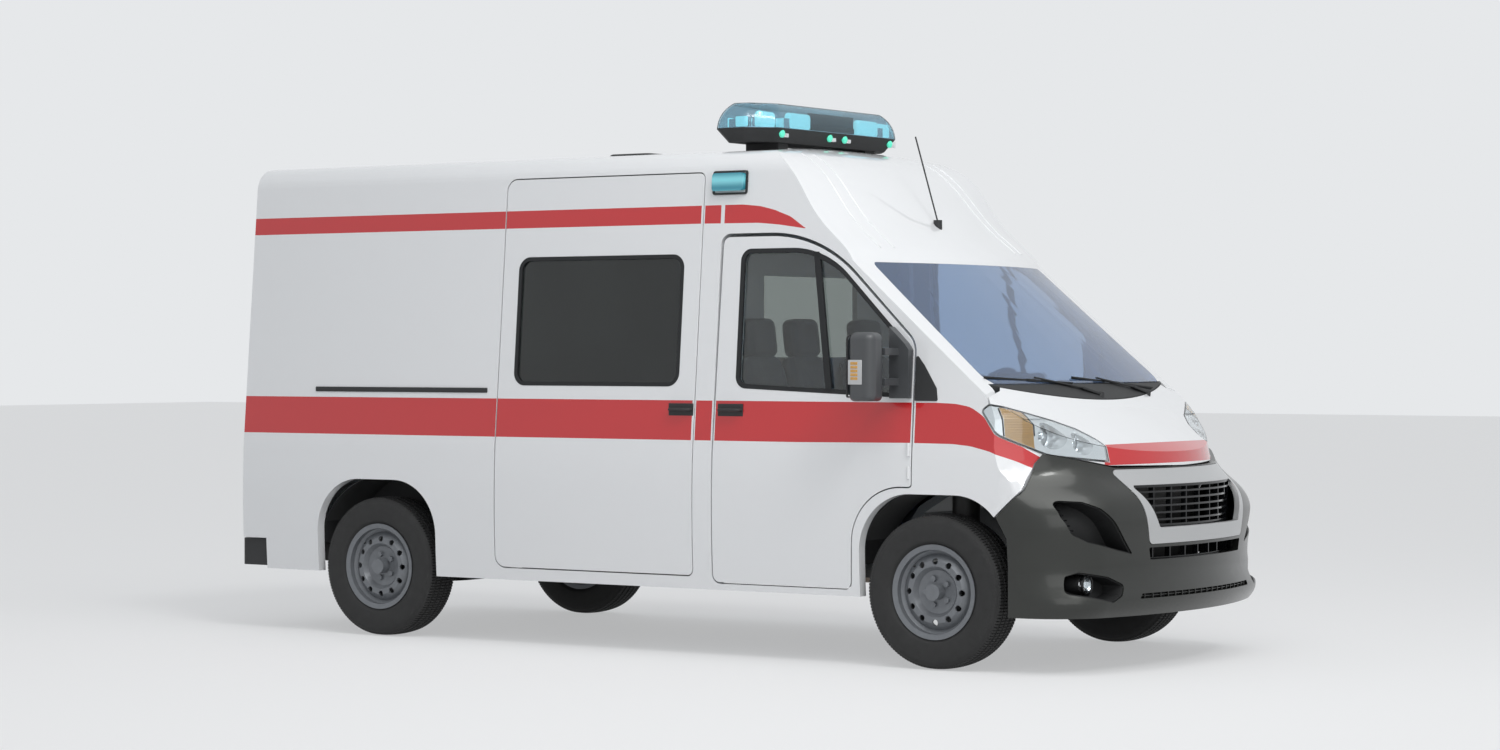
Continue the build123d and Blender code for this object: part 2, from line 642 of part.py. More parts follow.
# Dashboard, steering wheel and seats
with BuildPart() as dashboard:
    with BuildSketch(SIDE_VIEW):
        with BuildLine():
            Polyline((66, 900), (42, 1190), (-160, 1262), (-170, 1290), (60, 1345), (240, 1370), (400, 1330),
                     (430, 1240), (400, 1000), (330, 880), close=True)
        make_face()
    extrude(amount=2 * FAR)
    with Locations((0, 100, 1100)):
        Box(2 * 925, 900, 700, mode=Mode.INTERSECT)
WHEEL_CENTRE = (445, 560, 1300)
with BuildPart() as steering_wheel:
    rim_plane = Plane(origin=WHEEL_CENTRE, x_dir=(1, 0, 0), z_dir=(0, 0.62, 0.78))
    with BuildSketch(Plane(origin=(WHEEL_CENTRE[0] + 190, WHEEL_CENTRE[1], WHEEL_CENTRE[2]), x_dir=(1, 0, 0),
                           z_dir=rim_plane.y_dir)):
        Circle(15)
    revolve(axis=Axis(WHEEL_CENTRE, rim_plane.z_dir))
    with BuildSketch(rim_plane.offset(-10)):
        Circle(70)
        with PolarLocations(0, 3, start_angle=90):
            with Locations((95, 0)):
                Rectangle(180, 34)
    extrude(amount=20)
    with BuildSketch(rim_plane.offset(-150)):
        Circle(28)
    extrude(amount=145)


def seat(x, width):
    """Front seat: base box, cushion, back and headrest, as one solid."""
    with BuildPart() as chair:
        with Locations((x, 1010, 640)):
            Box(width - 90, 360, 280)
        with BuildSketch(SIDE_VIEW):
            with BuildLine():
                FilletPolyline((760, 760), (750, 880), (830, 915), (1130, 880), (1250, 1480), (1290, 1490),
                               (1310, 1440), (1215, 860), (1180, 760),
                               radius=[20, 30, 60, 40, 20, 20, 60, 40, 20], close=True)
            make_face()
        extrude(amount=2 * FAR)
        with Locations((x, 1000, 1100)):
            Box(width, 1200, 1200, mode=Mode.INTERSECT)
        with Locations((x, 1286, 1585)):
            Box(230, 70, 190)
    return chair.part


PASSENGER_X = -380
DRIVER_X = 445
with BuildPart() as seats:
    add(seat(PASSENGER_X, 820))
    add(seat(DRIVER_X, 500))

# Rear doors: two wings, each hinged at its outer edge
REAR_WINDOW = [(110, 1330), (110, 2000), (690, 2000), (690, 1330)]
REAR_HINGE_X = REAR_DOOR_HALF + 6
REAR_HINGE_Y = REAR_FACE + 16
with BuildPart() as rear_door_right:
    with BuildSketch(Plane.XZ.offset(-REAR_FACE)):
        with BuildLine():
            FilletPolyline((-REAR_DOOR_HALF, REAR_DOOR_LOW), (-REAR_DOOR_HALF, REAR_DOOR_HIGH),
                           (-6, REAR_DOOR_HIGH), (-6, REAR_DOOR_LOW), radius=[12, 60, 12, 12], close=True)
        make_face()
    extrude(amount=WALL, taper=4)
    with BuildSketch(Plane.XZ.offset(-REAR_FACE)):
        with BuildLine():
            FilletPolyline(*[(-x, z) for x, z in REAR_WINDOW], radius=70, close=True)
        make_face()
    extrude(amount=WALL, mode=Mode.SUBTRACT)
    for z in (720, 1360, 2180):
        with Locations((-REAR_HINGE_X + 41, REAR_FACE + 5, z)):
            Box(82, 12, 70)
        with Locations((-REAR_HINGE_X, REAR_HINGE_Y, z)):
            Cylinder(HINGE_R, 90)
with BuildPart() as rear_glass_right:
    with BuildSketch(Plane.XZ.offset(-REAR_FACE + 8)):
        with BuildLine():
            FilletPolyline(*[(-x, z) for x, z in REAR_WINDOW], radius=70, close=True)
        make_face()
    extrude(amount=5)
with BuildPart() as rear_bumper:
    with BuildSketch(Plane.XY.offset(350)):
        with BuildLine():
            FilletPolyline((-1000, REAR_FACE - 160), (-1000, REAR_FACE + 20), (-900, REAR_REACH),
                           (900, REAR_REACH), (1000, REAR_FACE + 20), (1000, REAR_FACE - 160),
                           (955, REAR_FACE - 160), (955, REAR_FACE - 60), (-955, REAR_FACE - 60),
                           (-955, REAR_FACE - 160), radius=[5, 40, 60, 60, 40, 5, 5, 20, 20, 5], close=True)
        make_face()
    extrude(amount=145)
with BuildPart() as tail_lamps:
    with Locations((-895, REAR_FACE + 4, 1060)):
        Box(110, 8, 560)
    fillet(tail_lamps.edges().filter_by(Axis.Y), 20)
    mirror(about=Plane.YZ)

# Mirror on the front door: base, two arms, housing and its glass
MIRROR_CENTRE = (-1192, 262, 1448)
with BuildPart() as mirror_right:
    with Locations(MIRROR_CENTRE):
        Box(128, 142, 330)
    fillet(mirror_right.edges().filter_by(Axis.Z), 44)
    fillet(mirror_right.faces().sort_by(Axis.Z)[-1].edges(), 38)
    fillet(mirror_right.faces().sort_by(Axis.Z)[0].edges(), 25)
    for z in (1375, 1520):
        with Locations((-1070, 205, z)):
            Box(150, 46, 34)
    with BuildSketch(Plane.YZ.offset(-1024)):
        with BuildLine():
            Polyline((126, 1296), (126, 1528), (150, 1560), (236, 1640), (236, 1296), close=True)
        make_face()
    extrude(amount=54)
    add(outer_form, mode=Mode.SUBTRACT)

# Black corner panels ahead of the mirrors, on the pillar foot
CORNER_PANEL = [(108, 1284), (108, 1512), (60, 1455), (-12, 1345), (-20, 1284)]
with BuildPart() as corner_panels:
    add(side_glazing(CORNER_PANEL, 8, -4, 0))
    mirror(about=Plane.YZ)

# Roof fittings
BEACON = [(1140, 2322), (1140, 2412), (1326, 2412), (1326, 2322)]
BAR_HALF = 700
BAR_FRONT = 1165
BAR_BACK = 1508
BAR_LOW = 2587
BAR_SPLIT = 2656
BAR_TOP = 2785
BAR_WALL = 5
MODULE_SIZE = (112, 48, 50)
MODULE_SPOTS = [(295, 1222), (425, 1222), (568, 1275), (75, 1440), (225, 1440), (375, 1440), (525, 1440)]


def bar_plan(z, shrink):
    """Plan outline of the light bar with swept ends, drawn in by shrink all round."""
    half, front, back = BAR_HALF - shrink, BAR_FRONT + shrink, BAR_BACK - shrink
    sweep = 130 - 0.6 * shrink
    with BuildSketch(Plane.XY.offset(z)) as outline:
        with BuildLine():
            FilletPolyline((-half, front + sweep), (130 - half, front), (half - 130, front),
                           (half, front + sweep), (half, back - 50), (half - 70, back), (70 - half, back),
                           (-half, back - 50), radius=[45, 60, 60, 45, 25, 25, 25, 25], close=True)
        make_face()
    return outline.sketch


with BuildPart() as light_bar_base:
    add(bar_plan(BAR_LOW, 45))
    add(bar_plan(BAR_SPLIT, 0))
    loft()
    for x in (-420, 420):
        with Locations((x, 1340, (BAR_LOW + 2500) / 2)):
            Box(90, 200, BAR_LOW - 2500)
    add(outer_form, mode=Mode.SUBTRACT)
with BuildPart() as bar_space:
    add(bar_plan(BAR_SPLIT, BAR_WALL))
    add(bar_plan(BAR_SPLIT + 60, 12 + BAR_WALL))
    add(bar_plan(BAR_TOP - BAR_WALL, 62 + BAR_WALL))
    loft()
with BuildPart() as light_bar_lens:
    add(bar_plan(BAR_SPLIT, 0))
    add(bar_plan(BAR_SPLIT + 60, 12))
    add(bar_plan(BAR_TOP, 62))
    loft()
    add(bar_space.part, mode=Mode.SUBTRACT)
# Lamp modules on one tray inside the lens, with the blank sign between them
with BuildPart() as light_bar_modules:
    add(bar_plan(BAR_SPLIT, 14))
    extrude(amount=4)
    for side in (-1, 1):
        for x, y in MODULE_SPOTS:
            with Locations((side * x, y, BAR_SPLIT + 29)):
                Box(*MODULE_SIZE)
    with Locations((0, (BAR_FRONT + BAR_BACK) / 2, BAR_SPLIT + 24)):
        Box(1080, 60, 40)
with BuildPart() as roof_sign:
    with Locations((0, BAR_FRONT + 59, BAR_SPLIT + 45)):
        Box(400, 20, 82)
with BuildPart() as side_beacons:
    add(side_glazing(BEACON, 16, -32, 0))
    mirror(about=Plane.YZ)
with BuildPart() as antenna:
    with Locations((-24, 555, 2166)):
        Cylinder(22, 50)
    with BuildSketch(Plane(origin=(-24, 555, 2180), z_dir=(0.01, 0.295, 0.955), x_dir=(1, 0, 0))):
        Circle(4)
    extrude(amount=462)
    add(outer_form, mode=Mode.SUBTRACT)
with BuildPart() as roof_vent:
    with Locations((0, 2375, 2552)):
        Box(420, 290, 60)
    fillet(roof_vent.edges().filter_by(Axis.Z), 50)
    fillet(roof_vent.faces().sort_by(Axis.Z)[-1].edges(), 20)
    add(outer_form, mode=Mode.SUBTRACT)

# Wheel in its own frame: axle along X, outer side towards -X, centre at the middle of the tyre
with BuildPart() as tyre:
    with BuildSketch(Plane.XY):
        with BuildLine():
            side_wall = [(BEAD_X, RIM_R), (TYRE_W / 2, 300), (91, TYRE_R)]
            Polyline(*side_wall, *[(-x, r) for x, r in reversed(side_wall)], close=True)
        make_face()
    revolve(axis=Axis.X)
with BuildPart() as wheel_rim:
    with BuildSketch(Plane.XY):
        with BuildLine():
            Polyline((-100, RIM_LIP_R), (-93, RIM_LIP_R), (-90, RIM_R), (-62, 206), (-48, 192), (30, 192),
                     (50, 206), (90, RIM_R), (93, RIM_LIP_R), (100, RIM_LIP_R), (98, 203), (54, 200),
                     (34, 185), (-40, 185), (-44, 176), (-58, 164), (-74, 146), (-74, 120), (-50, 100),
                     (-44, 72), (-44, 0), (-56, 0), (-56, 70), (-60, 104), (-84, 122), (-84, 150),
                     (-66, 172), (-54, 184), (-66, 200), (-94, 203), close=True)
        make_face()
    revolve(axis=Axis.X)
    with BuildSketch(Plane.YZ.offset(-110)):
        with PolarLocations(146, 12):
            Circle(15)
    extrude(amount=70, mode=Mode.SUBTRACT)
    with BuildSketch(Plane.YZ.offset(-46)):
        Circle(HUB_R)
    extrude(amount=96)
    with BuildSketch(Plane.YZ.offset(10)):
        Circle(STUB_R + 1)
    extrude(amount=60, mode=Mode.SUBTRACT)
    with BuildSketch(Plane.YZ.offset(18)):
        Circle(150)
    extrude(amount=26)
    with BuildSketch(Plane.YZ.offset(10)):
        Circle(STUB_R + 1)
    extrude(amount=60, mode=Mode.SUBTRACT)
    with BuildSketch(Plane.YZ.offset(-110)):
        Circle(39)
    extrude(amount=70)
    with BuildSketch(Plane.YZ.offset(-70)):
        with PolarLocations(65, 5):
            RegularPolygon(15, 6)
    extrude(amount=30)

# Front knuckle at the right wheel: kingpin post, stub axle, caliper and steering arm
with BuildPart() as knuckle_right:
    with Locations((-KINGPIN_X + 6, 0, TYRE_R)):
        Box(44, 120, 190)
    with BuildSketch(Plane.YZ.offset(-FRONT_TRACK / 2 + 20)):
        with Locations((0, TYRE_R)):
            Circle(STUB_R)
    extrude(amount=70)
    with Locations((-KINGPIN_X + 40, 40, TYRE_R - 40)):
        Box(60, 50, 36)
    with Locations((-KINGPIN_X + 60, 120, TYRE_R - 40)):
        Box(24, 210, 36)
    with Locations((-KINGPIN_X + 2, -100, TYRE_R)):
        Box(36, 90, 110)
    with Locations((-KINGPIN_X, 0, TYRE_R)):
        Cylinder(18, 250)

# Front suspension: subframe, lower arms, struts and drive shafts
with BuildPart() as front_suspension:
    with Locations((0, 60, 340)):
        Box(760, 300, 60)
    for side in (-1, 1):
        with BuildSketch(Plane.XY.offset(255)):
            with BuildLine():
                Polyline((side * 380, -90), (side * 765, -30), (side * 765, 30), (side * 380, 210),
                         close=True)
            make_face()
        extrude(amount=30)
        with Locations((side * 380, 60, 300)):
            Box(60, 300, 110)
        with Locations((side * 690, 0, 560)):
            Cylinder(30, 600)
        with Locations((side * 690, 0, 745)):
            Cylinder(68, 200)

# Rear axle: beam, stub axles and leaf springs
with BuildPart() as rear_axle:
    with BuildSketch(Plane.YZ.offset(-REAR_TRACK / 2 + 60)):
        with Locations((WHEELBASE, TYRE_R)):
            Circle(42)
    extrude(amount=REAR_TRACK - 120)
    with BuildSketch(Plane.YZ.offset(-REAR_TRACK / 2 + 20)):
        with Locations((WHEELBASE, TYRE_R)):
            Circle(STUB_R)
    extrude(amount=REAR_TRACK - 40)
    for side in (-1, 1):
        with BuildSketch(Plane.YZ.offset(side * 560 - 35)):
            with BuildLine():
                ThreePointArc((WHEELBASE - 720, 380), (WHEELBASE, 300), (WHEELBASE + 720, 380))
                Line((WHEELBASE + 720, 380), (WHEELBASE + 720, 360))
                ThreePointArc((WHEELBASE + 720, 360), (WHEELBASE, 272), (WHEELBASE - 720, 360))
                Line((WHEELBASE - 720, 360), (WHEELBASE - 720, 380))
            make_face()
        extrude(amount=70)
        with Locations((side * 560, WHEELBASE, 318)):
            Box(90, 120, 70)
        for end in (-710, 710):
            with Locations((side * 535, WHEELBASE + end, 400)):
                Box(120, 50, 86)

# Wheel arch liners inside the body, closed towards the load space at the rear
def arch_band(centre, radius, top, thick):
    """Side view outline of a wheelhouse: upright sides and a flattened round top."""
    crown = top - ARCH_SPRING
    with BuildSketch(Plane.YZ.offset(-WHEELHOUSE_OUT)) as band:
        with BuildLine():
            Polyline((centre - radius + thick, FLOOR_TOP - 60), (centre - radius + thick, ARCH_SPRING))
            ThreePointArc((centre - radius + thick, ARCH_SPRING), (centre, ARCH_SPRING + crown - thick),
                          (centre + radius - thick, ARCH_SPRING))
            Polyline((centre + radius - thick, ARCH_SPRING), (centre + radius - thick, FLOOR_TOP - 60),
                     (centre - radius + thick, FLOOR_TOP - 60))
        make_face()
    return band.sketch


house_depth = WHEELHOUSE_OUT - WHEELHOUSE_X
with BuildPart() as arch_liners:
    extrude(arch_band(0, FRONT_HOUSE_R, 880, 0), amount=house_depth, dir=(1, 0, 0))
    extrude(arch_band(0, FRONT_HOUSE_R, 880, 6), amount=house_depth, dir=(1, 0, 0), mode=Mode.SUBTRACT)
    extrude(arch_band(WHEELBASE, REAR_HOUSE_R - 2, 860, 0), amount=house_depth, dir=(1, 0, 0))
    extrude(arch_band(WHEELBASE, REAR_HOUSE_R - 2, 860, 6), amount=house_depth - 6, dir=(1, 0, 0),
            mode=Mode.SUBTRACT)
    mirror(about=Plane.YZ)

# Exhaust under the floor
with BuildPart() as exhaust:
    with BuildLine() as exhaust_path:
        FilletPolyline((250, 500, 330), (250, 1400, 330), (330, 1700, 300), (330, 3000, 300), radius=120)
    with BuildSketch(Plane(origin=exhaust_path.line @ 0, z_dir=exhaust_path.line % 0)):
        Circle(28)
    sweep()
    with Locations((330, 2400, 300)):
        Cylinder(75, 480, rotation=(90, 0, 0))


def mirrored_part(part):
    """The same piece for the vehicle's left side."""
    with BuildPart() as other:
        mirror(part, about=Plane.YZ)
    return other.part


def placed_wheel(part, x, y):
    """A wheel piece set on its axle, its outer side outwards."""
    with BuildPart() as placed:
        with Locations(Location((-abs(x), y, TYRE_R))):
            add(part)
    if x > 0:
        return mirrored_part(placed.part)
    return placed.part


def pair(part):
    """A piece and its mirror image, as two solids of one fixed node."""
    with BuildPart() as both:
        add(part)
        mirror(part, about=Plane.YZ)
    return both.part


pieces = {
    "side_panel_right": largest(side_panel_right.part),
    "side_panel_left": largest(side_panel_left.part),
    "roof": roof.part,
    "floor": floor.part,
    "frame_rails": frame_rails.part,
    "partition": partition.part,
    "windscreen": windscreen.part,
    "cowl": largest(cowl.part),
    "bonnet": largest(bonnet.part),
    "fenders": pair(fender_right.part),
    "front_bumper": front_bumper.part,
    "bumper_inserts": bumper_insert_set.part,
    "grille_surround": grille_surround.part,
    "grille": grille.part,
    "radiator": radiator.part,
    "engine": engine.part,
    "headlamps": pair(largest(headlamp_right.part)),
    "headlamp_lenses": pair(largest(headlamp_lens_right.part)),
    "indicator_lenses": pair(largest(indicator_right.part)),
    "sliding_door": sliding_door.part,
    "side_glass": pair(sliding_glass.part),
    "dashboard": dashboard.part,
    "steering_wheel": steering_wheel.part,
    "seats": seats.part,
    "rear_bumper": rear_bumper.part,
    "tail_lamps": tail_lamps.part,
    "corner_panels": corner_panels.part,
    "light_bar_base": light_bar_base.part,
    "light_bar_lens": light_bar_lens.part,
    "light_bar_modules": light_bar_modules.part,
    "roof_sign": roof_sign.part,
    "side_beacons": side_beacons.part,
    "antenna": antenna.part,
    "roof_vent": roof_vent.part,
    "front_suspension": front_suspension.part,
    "rear_axle": rear_axle.part,
    "arch_liners": arch_liners.part,
    "exhaust": exhaust.part,
    "front_door_right": front_door_right.part,
    "front_glass_right": front_glass_right.part,
    "mirror_right": mirror_right.part,
    "rear_door_right": rear_door_right.part,
    "rear_glass_right": rear_glass_right.part,
    "knuckle_right": knuckle_right.part,
}
for name in ("front_door", "front_glass", "mirror", "rear_door", "rear_glass", "knuckle"):
    pieces[f"{name}_left"] = mirrored_part(pieces[f"{name}_right"])
for end, track, y in (("front", FRONT_TRACK, 0), ("rear", REAR_TRACK, WHEELBASE)):
    for side, direction in (("right", -1), ("left", 1)):
        pieces[f"tyre_{end}_{side}"] = placed_wheel(tyre.part, direction * track / 2, y)
        pieces[f"rim_{end}_{side}"] = placed_wheel(wheel_rim.part, direction * track / 2, y)

os.makedirs("parts", exist_ok=True)
for name, part in pieces.items():
    with BuildPart() as piece:
        with Locations((0, -BOX_MIDDLE, 0)):
            add(part)
    piece.part.label = name
    export_step(piece.part, f"parts/{name}.step")
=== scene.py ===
from math import cos, pi, radians, sin, tan

import bmesh
import bpy
from mathutils import Matrix, Vector
from mathutils.bvhtree import BVHTree


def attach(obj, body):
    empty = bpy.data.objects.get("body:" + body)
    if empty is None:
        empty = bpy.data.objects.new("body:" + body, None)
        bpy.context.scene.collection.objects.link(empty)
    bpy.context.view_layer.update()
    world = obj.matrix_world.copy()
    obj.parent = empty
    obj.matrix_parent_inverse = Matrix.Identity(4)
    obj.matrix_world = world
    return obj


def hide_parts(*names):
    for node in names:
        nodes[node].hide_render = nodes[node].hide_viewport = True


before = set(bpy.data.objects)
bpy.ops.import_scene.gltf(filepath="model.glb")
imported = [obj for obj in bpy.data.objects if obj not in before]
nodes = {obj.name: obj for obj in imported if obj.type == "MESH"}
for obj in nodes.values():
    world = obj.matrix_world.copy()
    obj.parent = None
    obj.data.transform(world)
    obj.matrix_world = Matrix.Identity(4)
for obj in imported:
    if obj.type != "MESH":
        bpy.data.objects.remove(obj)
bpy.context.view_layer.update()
scene = bpy.context.scene

# Distance from the front axle to the middle of the vehicle, in millimetres
AXLE_TO_MIDDLE = 1755.2
TYRE_R = 372
WHEELBASE = 3450
# Half track and distance behind the front axle
AXLES = {"front": (905, 0), "rear": (895, WHEELBASE)}
SIDES = {"right": -1, "left": 1}
REAR_FACE = 4395
SEAT_CENTRES = {"driver": 445, "passenger_window": -585, "passenger_middle": -178}


def place(x, y, z):
    """A point given in millimetres from the front axle's middle, in the frame's metres."""
    return Vector((x / 1000, (y - AXLE_TO_MIDDLE) / 1000, z / 1000))


# Materials

def linear(code):
    """An sRGB hex colour as linear red, green, blue and alpha."""
    channels = [int(code[i:i + 2], 16) / 255 for i in (1, 3, 5)]
    return [c / 12.92 if c <= 0.04045 else ((c + 0.055) / 1.055) ** 2.4 for c in channels] + [1.0]


def add_node(tree, kind, settings=None, inputs=None):
    """Adds a shader node; an input that is a socket gets linked, and any other value is set."""
    made = tree.nodes.new(kind)
    for name, value in (settings or {}).items():
        setattr(made, name, value)
    for name, value in (inputs or {}).items():
        if isinstance(value, bpy.types.NodeSocket):
            tree.links.new(value, made.inputs[name])
        else:
            made.inputs[name].default_value = value
    return made


def math(tree, operation, first, second=0.0):
    """One arithmetic step between sockets or numbers."""
    return add_node(tree, "ShaderNodeMath", {"operation": operation}, {0: first, 1: second}).outputs[0]


def product(tree, first, *others):
    """Several masks multiplied."""
    for other in others:
        first = math(tree, "MULTIPLY", first, other)
    return first


def in_object_space(tree):
    """The place on the object in metres, so that textures keep their real size."""
    return add_node(tree, "ShaderNodeTexCoord").outputs["Object"]


def noise(tree, size_mm, detail):
    """Noise of one real size."""
    return add_node(tree, "ShaderNodeTexNoise", {}, {
        "Vector": in_object_space(tree), "Scale": 1000 / size_mm, "Detail": detail}).outputs["Fac"]


def bands(tree, direction, scale):
    """Parallel bands across one axis: at scale 1 one light and one dark band take 314 mm."""
    return add_node(tree, "ShaderNodeTexWave", {"bands_direction": direction}, {
        "Vector": in_object_space(tree), "Scale": scale}).outputs["Fac"]


def mixed(tree, factor, low, high):
    """A colour between two hex colours."""
    return add_node(tree, "ShaderNodeMix", {"data_type": "RGBA"}, {
        0: factor, 6: linear(low), 7: linear(high)}).outputs[2]


def raised(tree, shader, height, strength, depth_mm):
    """Surface relief from a height that runs from 0 to 1."""
    relief = add_node(tree, "ShaderNodeBump", {}, {
        "Height": height, "Strength": strength, "Distance": depth_mm / 1000})
    tree.links.new(relief.outputs["Normal"], shader.inputs["Normal"])


def roughen(tree, shader, size_mm, depth_mm, detail=2.0):
    """Fine surface relief of one real grain size."""
    raised(tree, shader, noise(tree, size_mm, detail), 1.0, depth_mm)


def vary(tree, shader, size_mm, low, high):
    """Slow change of colour over the surface."""
    tree.links.new(mixed(tree, noise(tree, size_mm, 4.0), low, high), shader.inputs["Base Color"])


def new_finish(name, **surface):
    """A material with its node tree and its surface shader, whose sockets are set by name."""
    material = bpy.data.materials.new(name)
    material.use_nodes = True
    shader = material.node_tree.nodes["Principled BSDF"]
    for socket, value in surface.items():
        shader.inputs[socket.replace("_", " ")].default_value = value
    return material, material.node_tree, shader


def plain(name, colour, grain, **surface):
    """One colour with fine relief, whose grain is a size and a depth in millimetres."""
    material, tree, shader = new_finish(name, Base_Color=linear(colour), **surface)
    roughen(tree, shader, *grain)
    return material


def mottled(name, colours, patch_mm, grain, **surface):
    """Two colours that pass into each other in patches, with fine relief."""
    material, tree, shader = new_finish(name, **surface)
    vary(tree, shader, patch_mm, *colours)
    roughen(tree, shader, *grain)
    return material


def profile_line(tree, value, points, value_span, line_span):
    """A line through points (value, height) as a curve, both in metres."""
    low, high = value_span
    bottom, top = line_span
    scaled = add_node(tree, "ShaderNodeMapRange", {}, {
        "Value": value, "From Min": low, "From Max": high})
    curve = add_node(tree, "ShaderNodeFloatCurve", {}, {"Value": scaled.outputs["Result"]})
    line = curve.mapping.curves[0]
    placed = [((v - low) / (high - low), (h - bottom) / (top - bottom)) for v, h in sorted(points)]
    line.points[0].location = placed[0]
    line.points[1].location = placed[-1]
    for spot in placed[1:-1]:
        line.points.new(*spot)
    for point in line.points:
        point.handle_type = "VECTOR"
    curve.mapping.extend = "HORIZONTAL"
    curve.mapping.update()
    return add_node(tree, "ShaderNodeMapRange", {}, {
        "Value": curve.outputs["Value"], "To Min": bottom, "To Max": top}).outputs["Result"]


# Red vinyl stripes: outlines as (distance behind the front axle, height), in millimetres
STRIPE_START = -560
STRIPE_TOP = [(-522, 1005), (-397, 1100), (-323, 1168), (-263, 1222), (-200, 1258), (-120, 1272), (-21, 1276),
              (4400, 1276)]
STRIPE_LOW = [(-589, 905), (-540, 937), (-423, 1003), (-316, 1048), (-209, 1072), (-112, 1081), (124, 1083),
              (788, 1077), (4400, 1077)]
HIGH_STRIPE_START = 776
HIGH_STRIPE_TOP = [(772, 2125), (866, 2187), (965, 2223), (1050, 2243), (1155, 2253), (4400, 2253)]
HIGH_STRIPE_LOW = [(772, 2125), (924, 2147), (1052, 2159), (1393, 2162), (4400, 2162)]
STRIPE_SPAN = (-0.6 - AXLE_TO_MIDDLE / 1000, 4.4 - AXLE_TO_MIDDLE / 1000)
STRIPE_HEIGHTS = (0.9, 2.3)
# Where the vinyl is cut at the doors' shut lines, and half the cut's width in metres
SHUT_LINES = (112, 1271, 1391)
SHUT_HALF = 0.011
# Bonnet band in metres: its heights, how much its edges bow, and half its width at low and high
BAND_LOW = 0.982
BAND_TOP = 1.079
BAND_BOW = 0.012
BAND_HALF_WIDTHS = [(0.975, 0.575), (1.073, 0.538)]
WHITE_ENAMEL = "#e4e5e6"
RED_VINYL = "#c20f18"


def stripe_band(tree, axes, top, low, start):
    """1 between two outlines of one stripe, behind its start."""
    lines = []
    for outline in (top, low):
        points = [((y - AXLE_TO_MIDDLE) / 1000, z / 1000) for y, z in outline]
        lines.append(profile_line(tree, axes["Y"], points, STRIPE_SPAN, STRIPE_HEIGHTS))
    return product(tree, math(tree, "LESS_THAN", axes["Z"], lines[0]),
                   math(tree, "GREATER_THAN", axes["Z"], lines[1]),
                   math(tree, "GREATER_THAN", axes["Y"], place(0, start, 0).y))


def side_stripes(tree, axes, facing):
    """1 on both stripes, where a panel faces outward and away from the shut lines."""
    both = math(tree, "ADD", stripe_band(tree, axes, STRIPE_TOP, STRIPE_LOW, STRIPE_START),
                stripe_band(tree, axes, HIGH_STRIPE_TOP, HIGH_STRIPE_LOW, HIGH_STRIPE_START))
    outward = math(tree, "GREATER_THAN", math(tree, "MULTIPLY", axes["X"], facing["X"]), 0.2)
    uncut = []
    for line in SHUT_LINES:
        away = math(tree, "ABSOLUTE", math(tree, "SUBTRACT", axes["Y"], place(0, line, 0).y))
        uncut.append(math(tree, "GREATER_THAN", away, SHUT_HALF))
    return product(tree, both, outward, *uncut)


def bonnet_band(tree, axes, facing):
    """1 on the band across the bonnet's nose."""
    half = profile_line(tree, axes["Z"], BAND_HALF_WIDTHS, (0.975, 1.073), (0.5, 0.6))
    inside = math(tree, "LESS_THAN", math(tree, "ABSOLUTE", axes["X"]), half)
    crown = math(tree, "MULTIPLY", math(tree, "POWER", axes["X"], 2.0), BAND_BOW)
    lifted = math(tree, "ADD", axes["Z"], crown)
    between = product(tree, math(tree, "GREATER_THAN", lifted, BAND_LOW),
                      math(tree, "LESS_THAN", lifted, BAND_TOP))
    return product(tree, inside, between, math(tree, "LESS_THAN", facing["Y"], -0.1))


def enamel(name, vinyl=None):
    """Two-coat white vehicle enamel: a hard gloss, faint orange peel, and flat red vinyl where a mask is 1."""
    material, tree, shader = new_finish(
        name, Base_Color=linear(WHITE_ENAMEL), Roughness=0.32, Coat_Weight=1.0, Coat_Roughness=0.03)
    roughen(tree, shader, 9, 0.02)
    if vinyl:
        spot = add_node(tree, "ShaderNodeTexCoord").outputs
        axes, facing = [add_node(tree, "ShaderNodeSeparateXYZ", {}, {"Vector": spot[kind]}).outputs
                        for kind in ("Object", "Normal")]
        colour = mixed(tree, vinyl(tree, axes, facing), WHITE_ENAMEL, RED_VINYL)
        tree.links.new(colour, shader.inputs["Base Color"])
    return material


striped_paint = enamel("white_enamel_with_red_vinyl", side_stripes)
bonnet_paint = enamel("white_enamel_with_bonnet_band", bonnet_band)
roof_paint = enamel("white_enamel")

# Bumper: moulded polypropylene with graphite metallic lacquer, a soft sheen with fine sparkle
graphite = mottled("graphite_lacquer_on_pp", ("#2b2d2b", "#3c3d3a"), 1.2, (1.6, 0.03),
                   Metallic=0.7, Roughness=0.34, Coat_Weight=0.5, Coat_Roughness=0.12)

# Grille surround: silver lacquer, brighter and smoother than the bumper
silver = mottled("silver_lacquer_on_abs", ("#babbbc", "#cbcccc"), 0.8, (1.2, 0.015), Metallic=0.8, Roughness=0.3)

# Unpainted polypropylene: near black with a leathery moulded grain of about 1.5 mm
black_pp = mottled("grained_black_pp", ("#242526", "#2c2d2e"), 60, (1.5, 0.12), Roughness=0.62)

# Inserts behind the bumper: black plastic with a coarse grain, painted darker than the other black plastic as the
# shade deep in the pockets
pocket_black_with_painted_shade = plain("black_insert_darkened_for_pocket_shade", "#0e0f10", (1.5, 0.1), Roughness=0.7)

# Gloss black ABS of the grille bars
gloss_black = plain("gloss_black_abs", "#141517", (12, 0.01), Roughness=0.16)

# Mirror housings: mid grey nylon, satin with a broad highlight
mirror_grey = plain("satin_grey_nylon", "#4a4c4e", (3, 0.02), Roughness=0.3)

# EPDM seals round the glass: soft dull black
seal_rubber = plain("epdm_seal", "#16181a", (0.9, 0.05), Roughness=0.7)

# Tyre rubber: charcoal with greyer worn patches, dull all over
tyre_rubber = mottled("tyre_rubber", ("#232323", "#303030"), 45, (1.1, 0.1), Roughness=0.8)

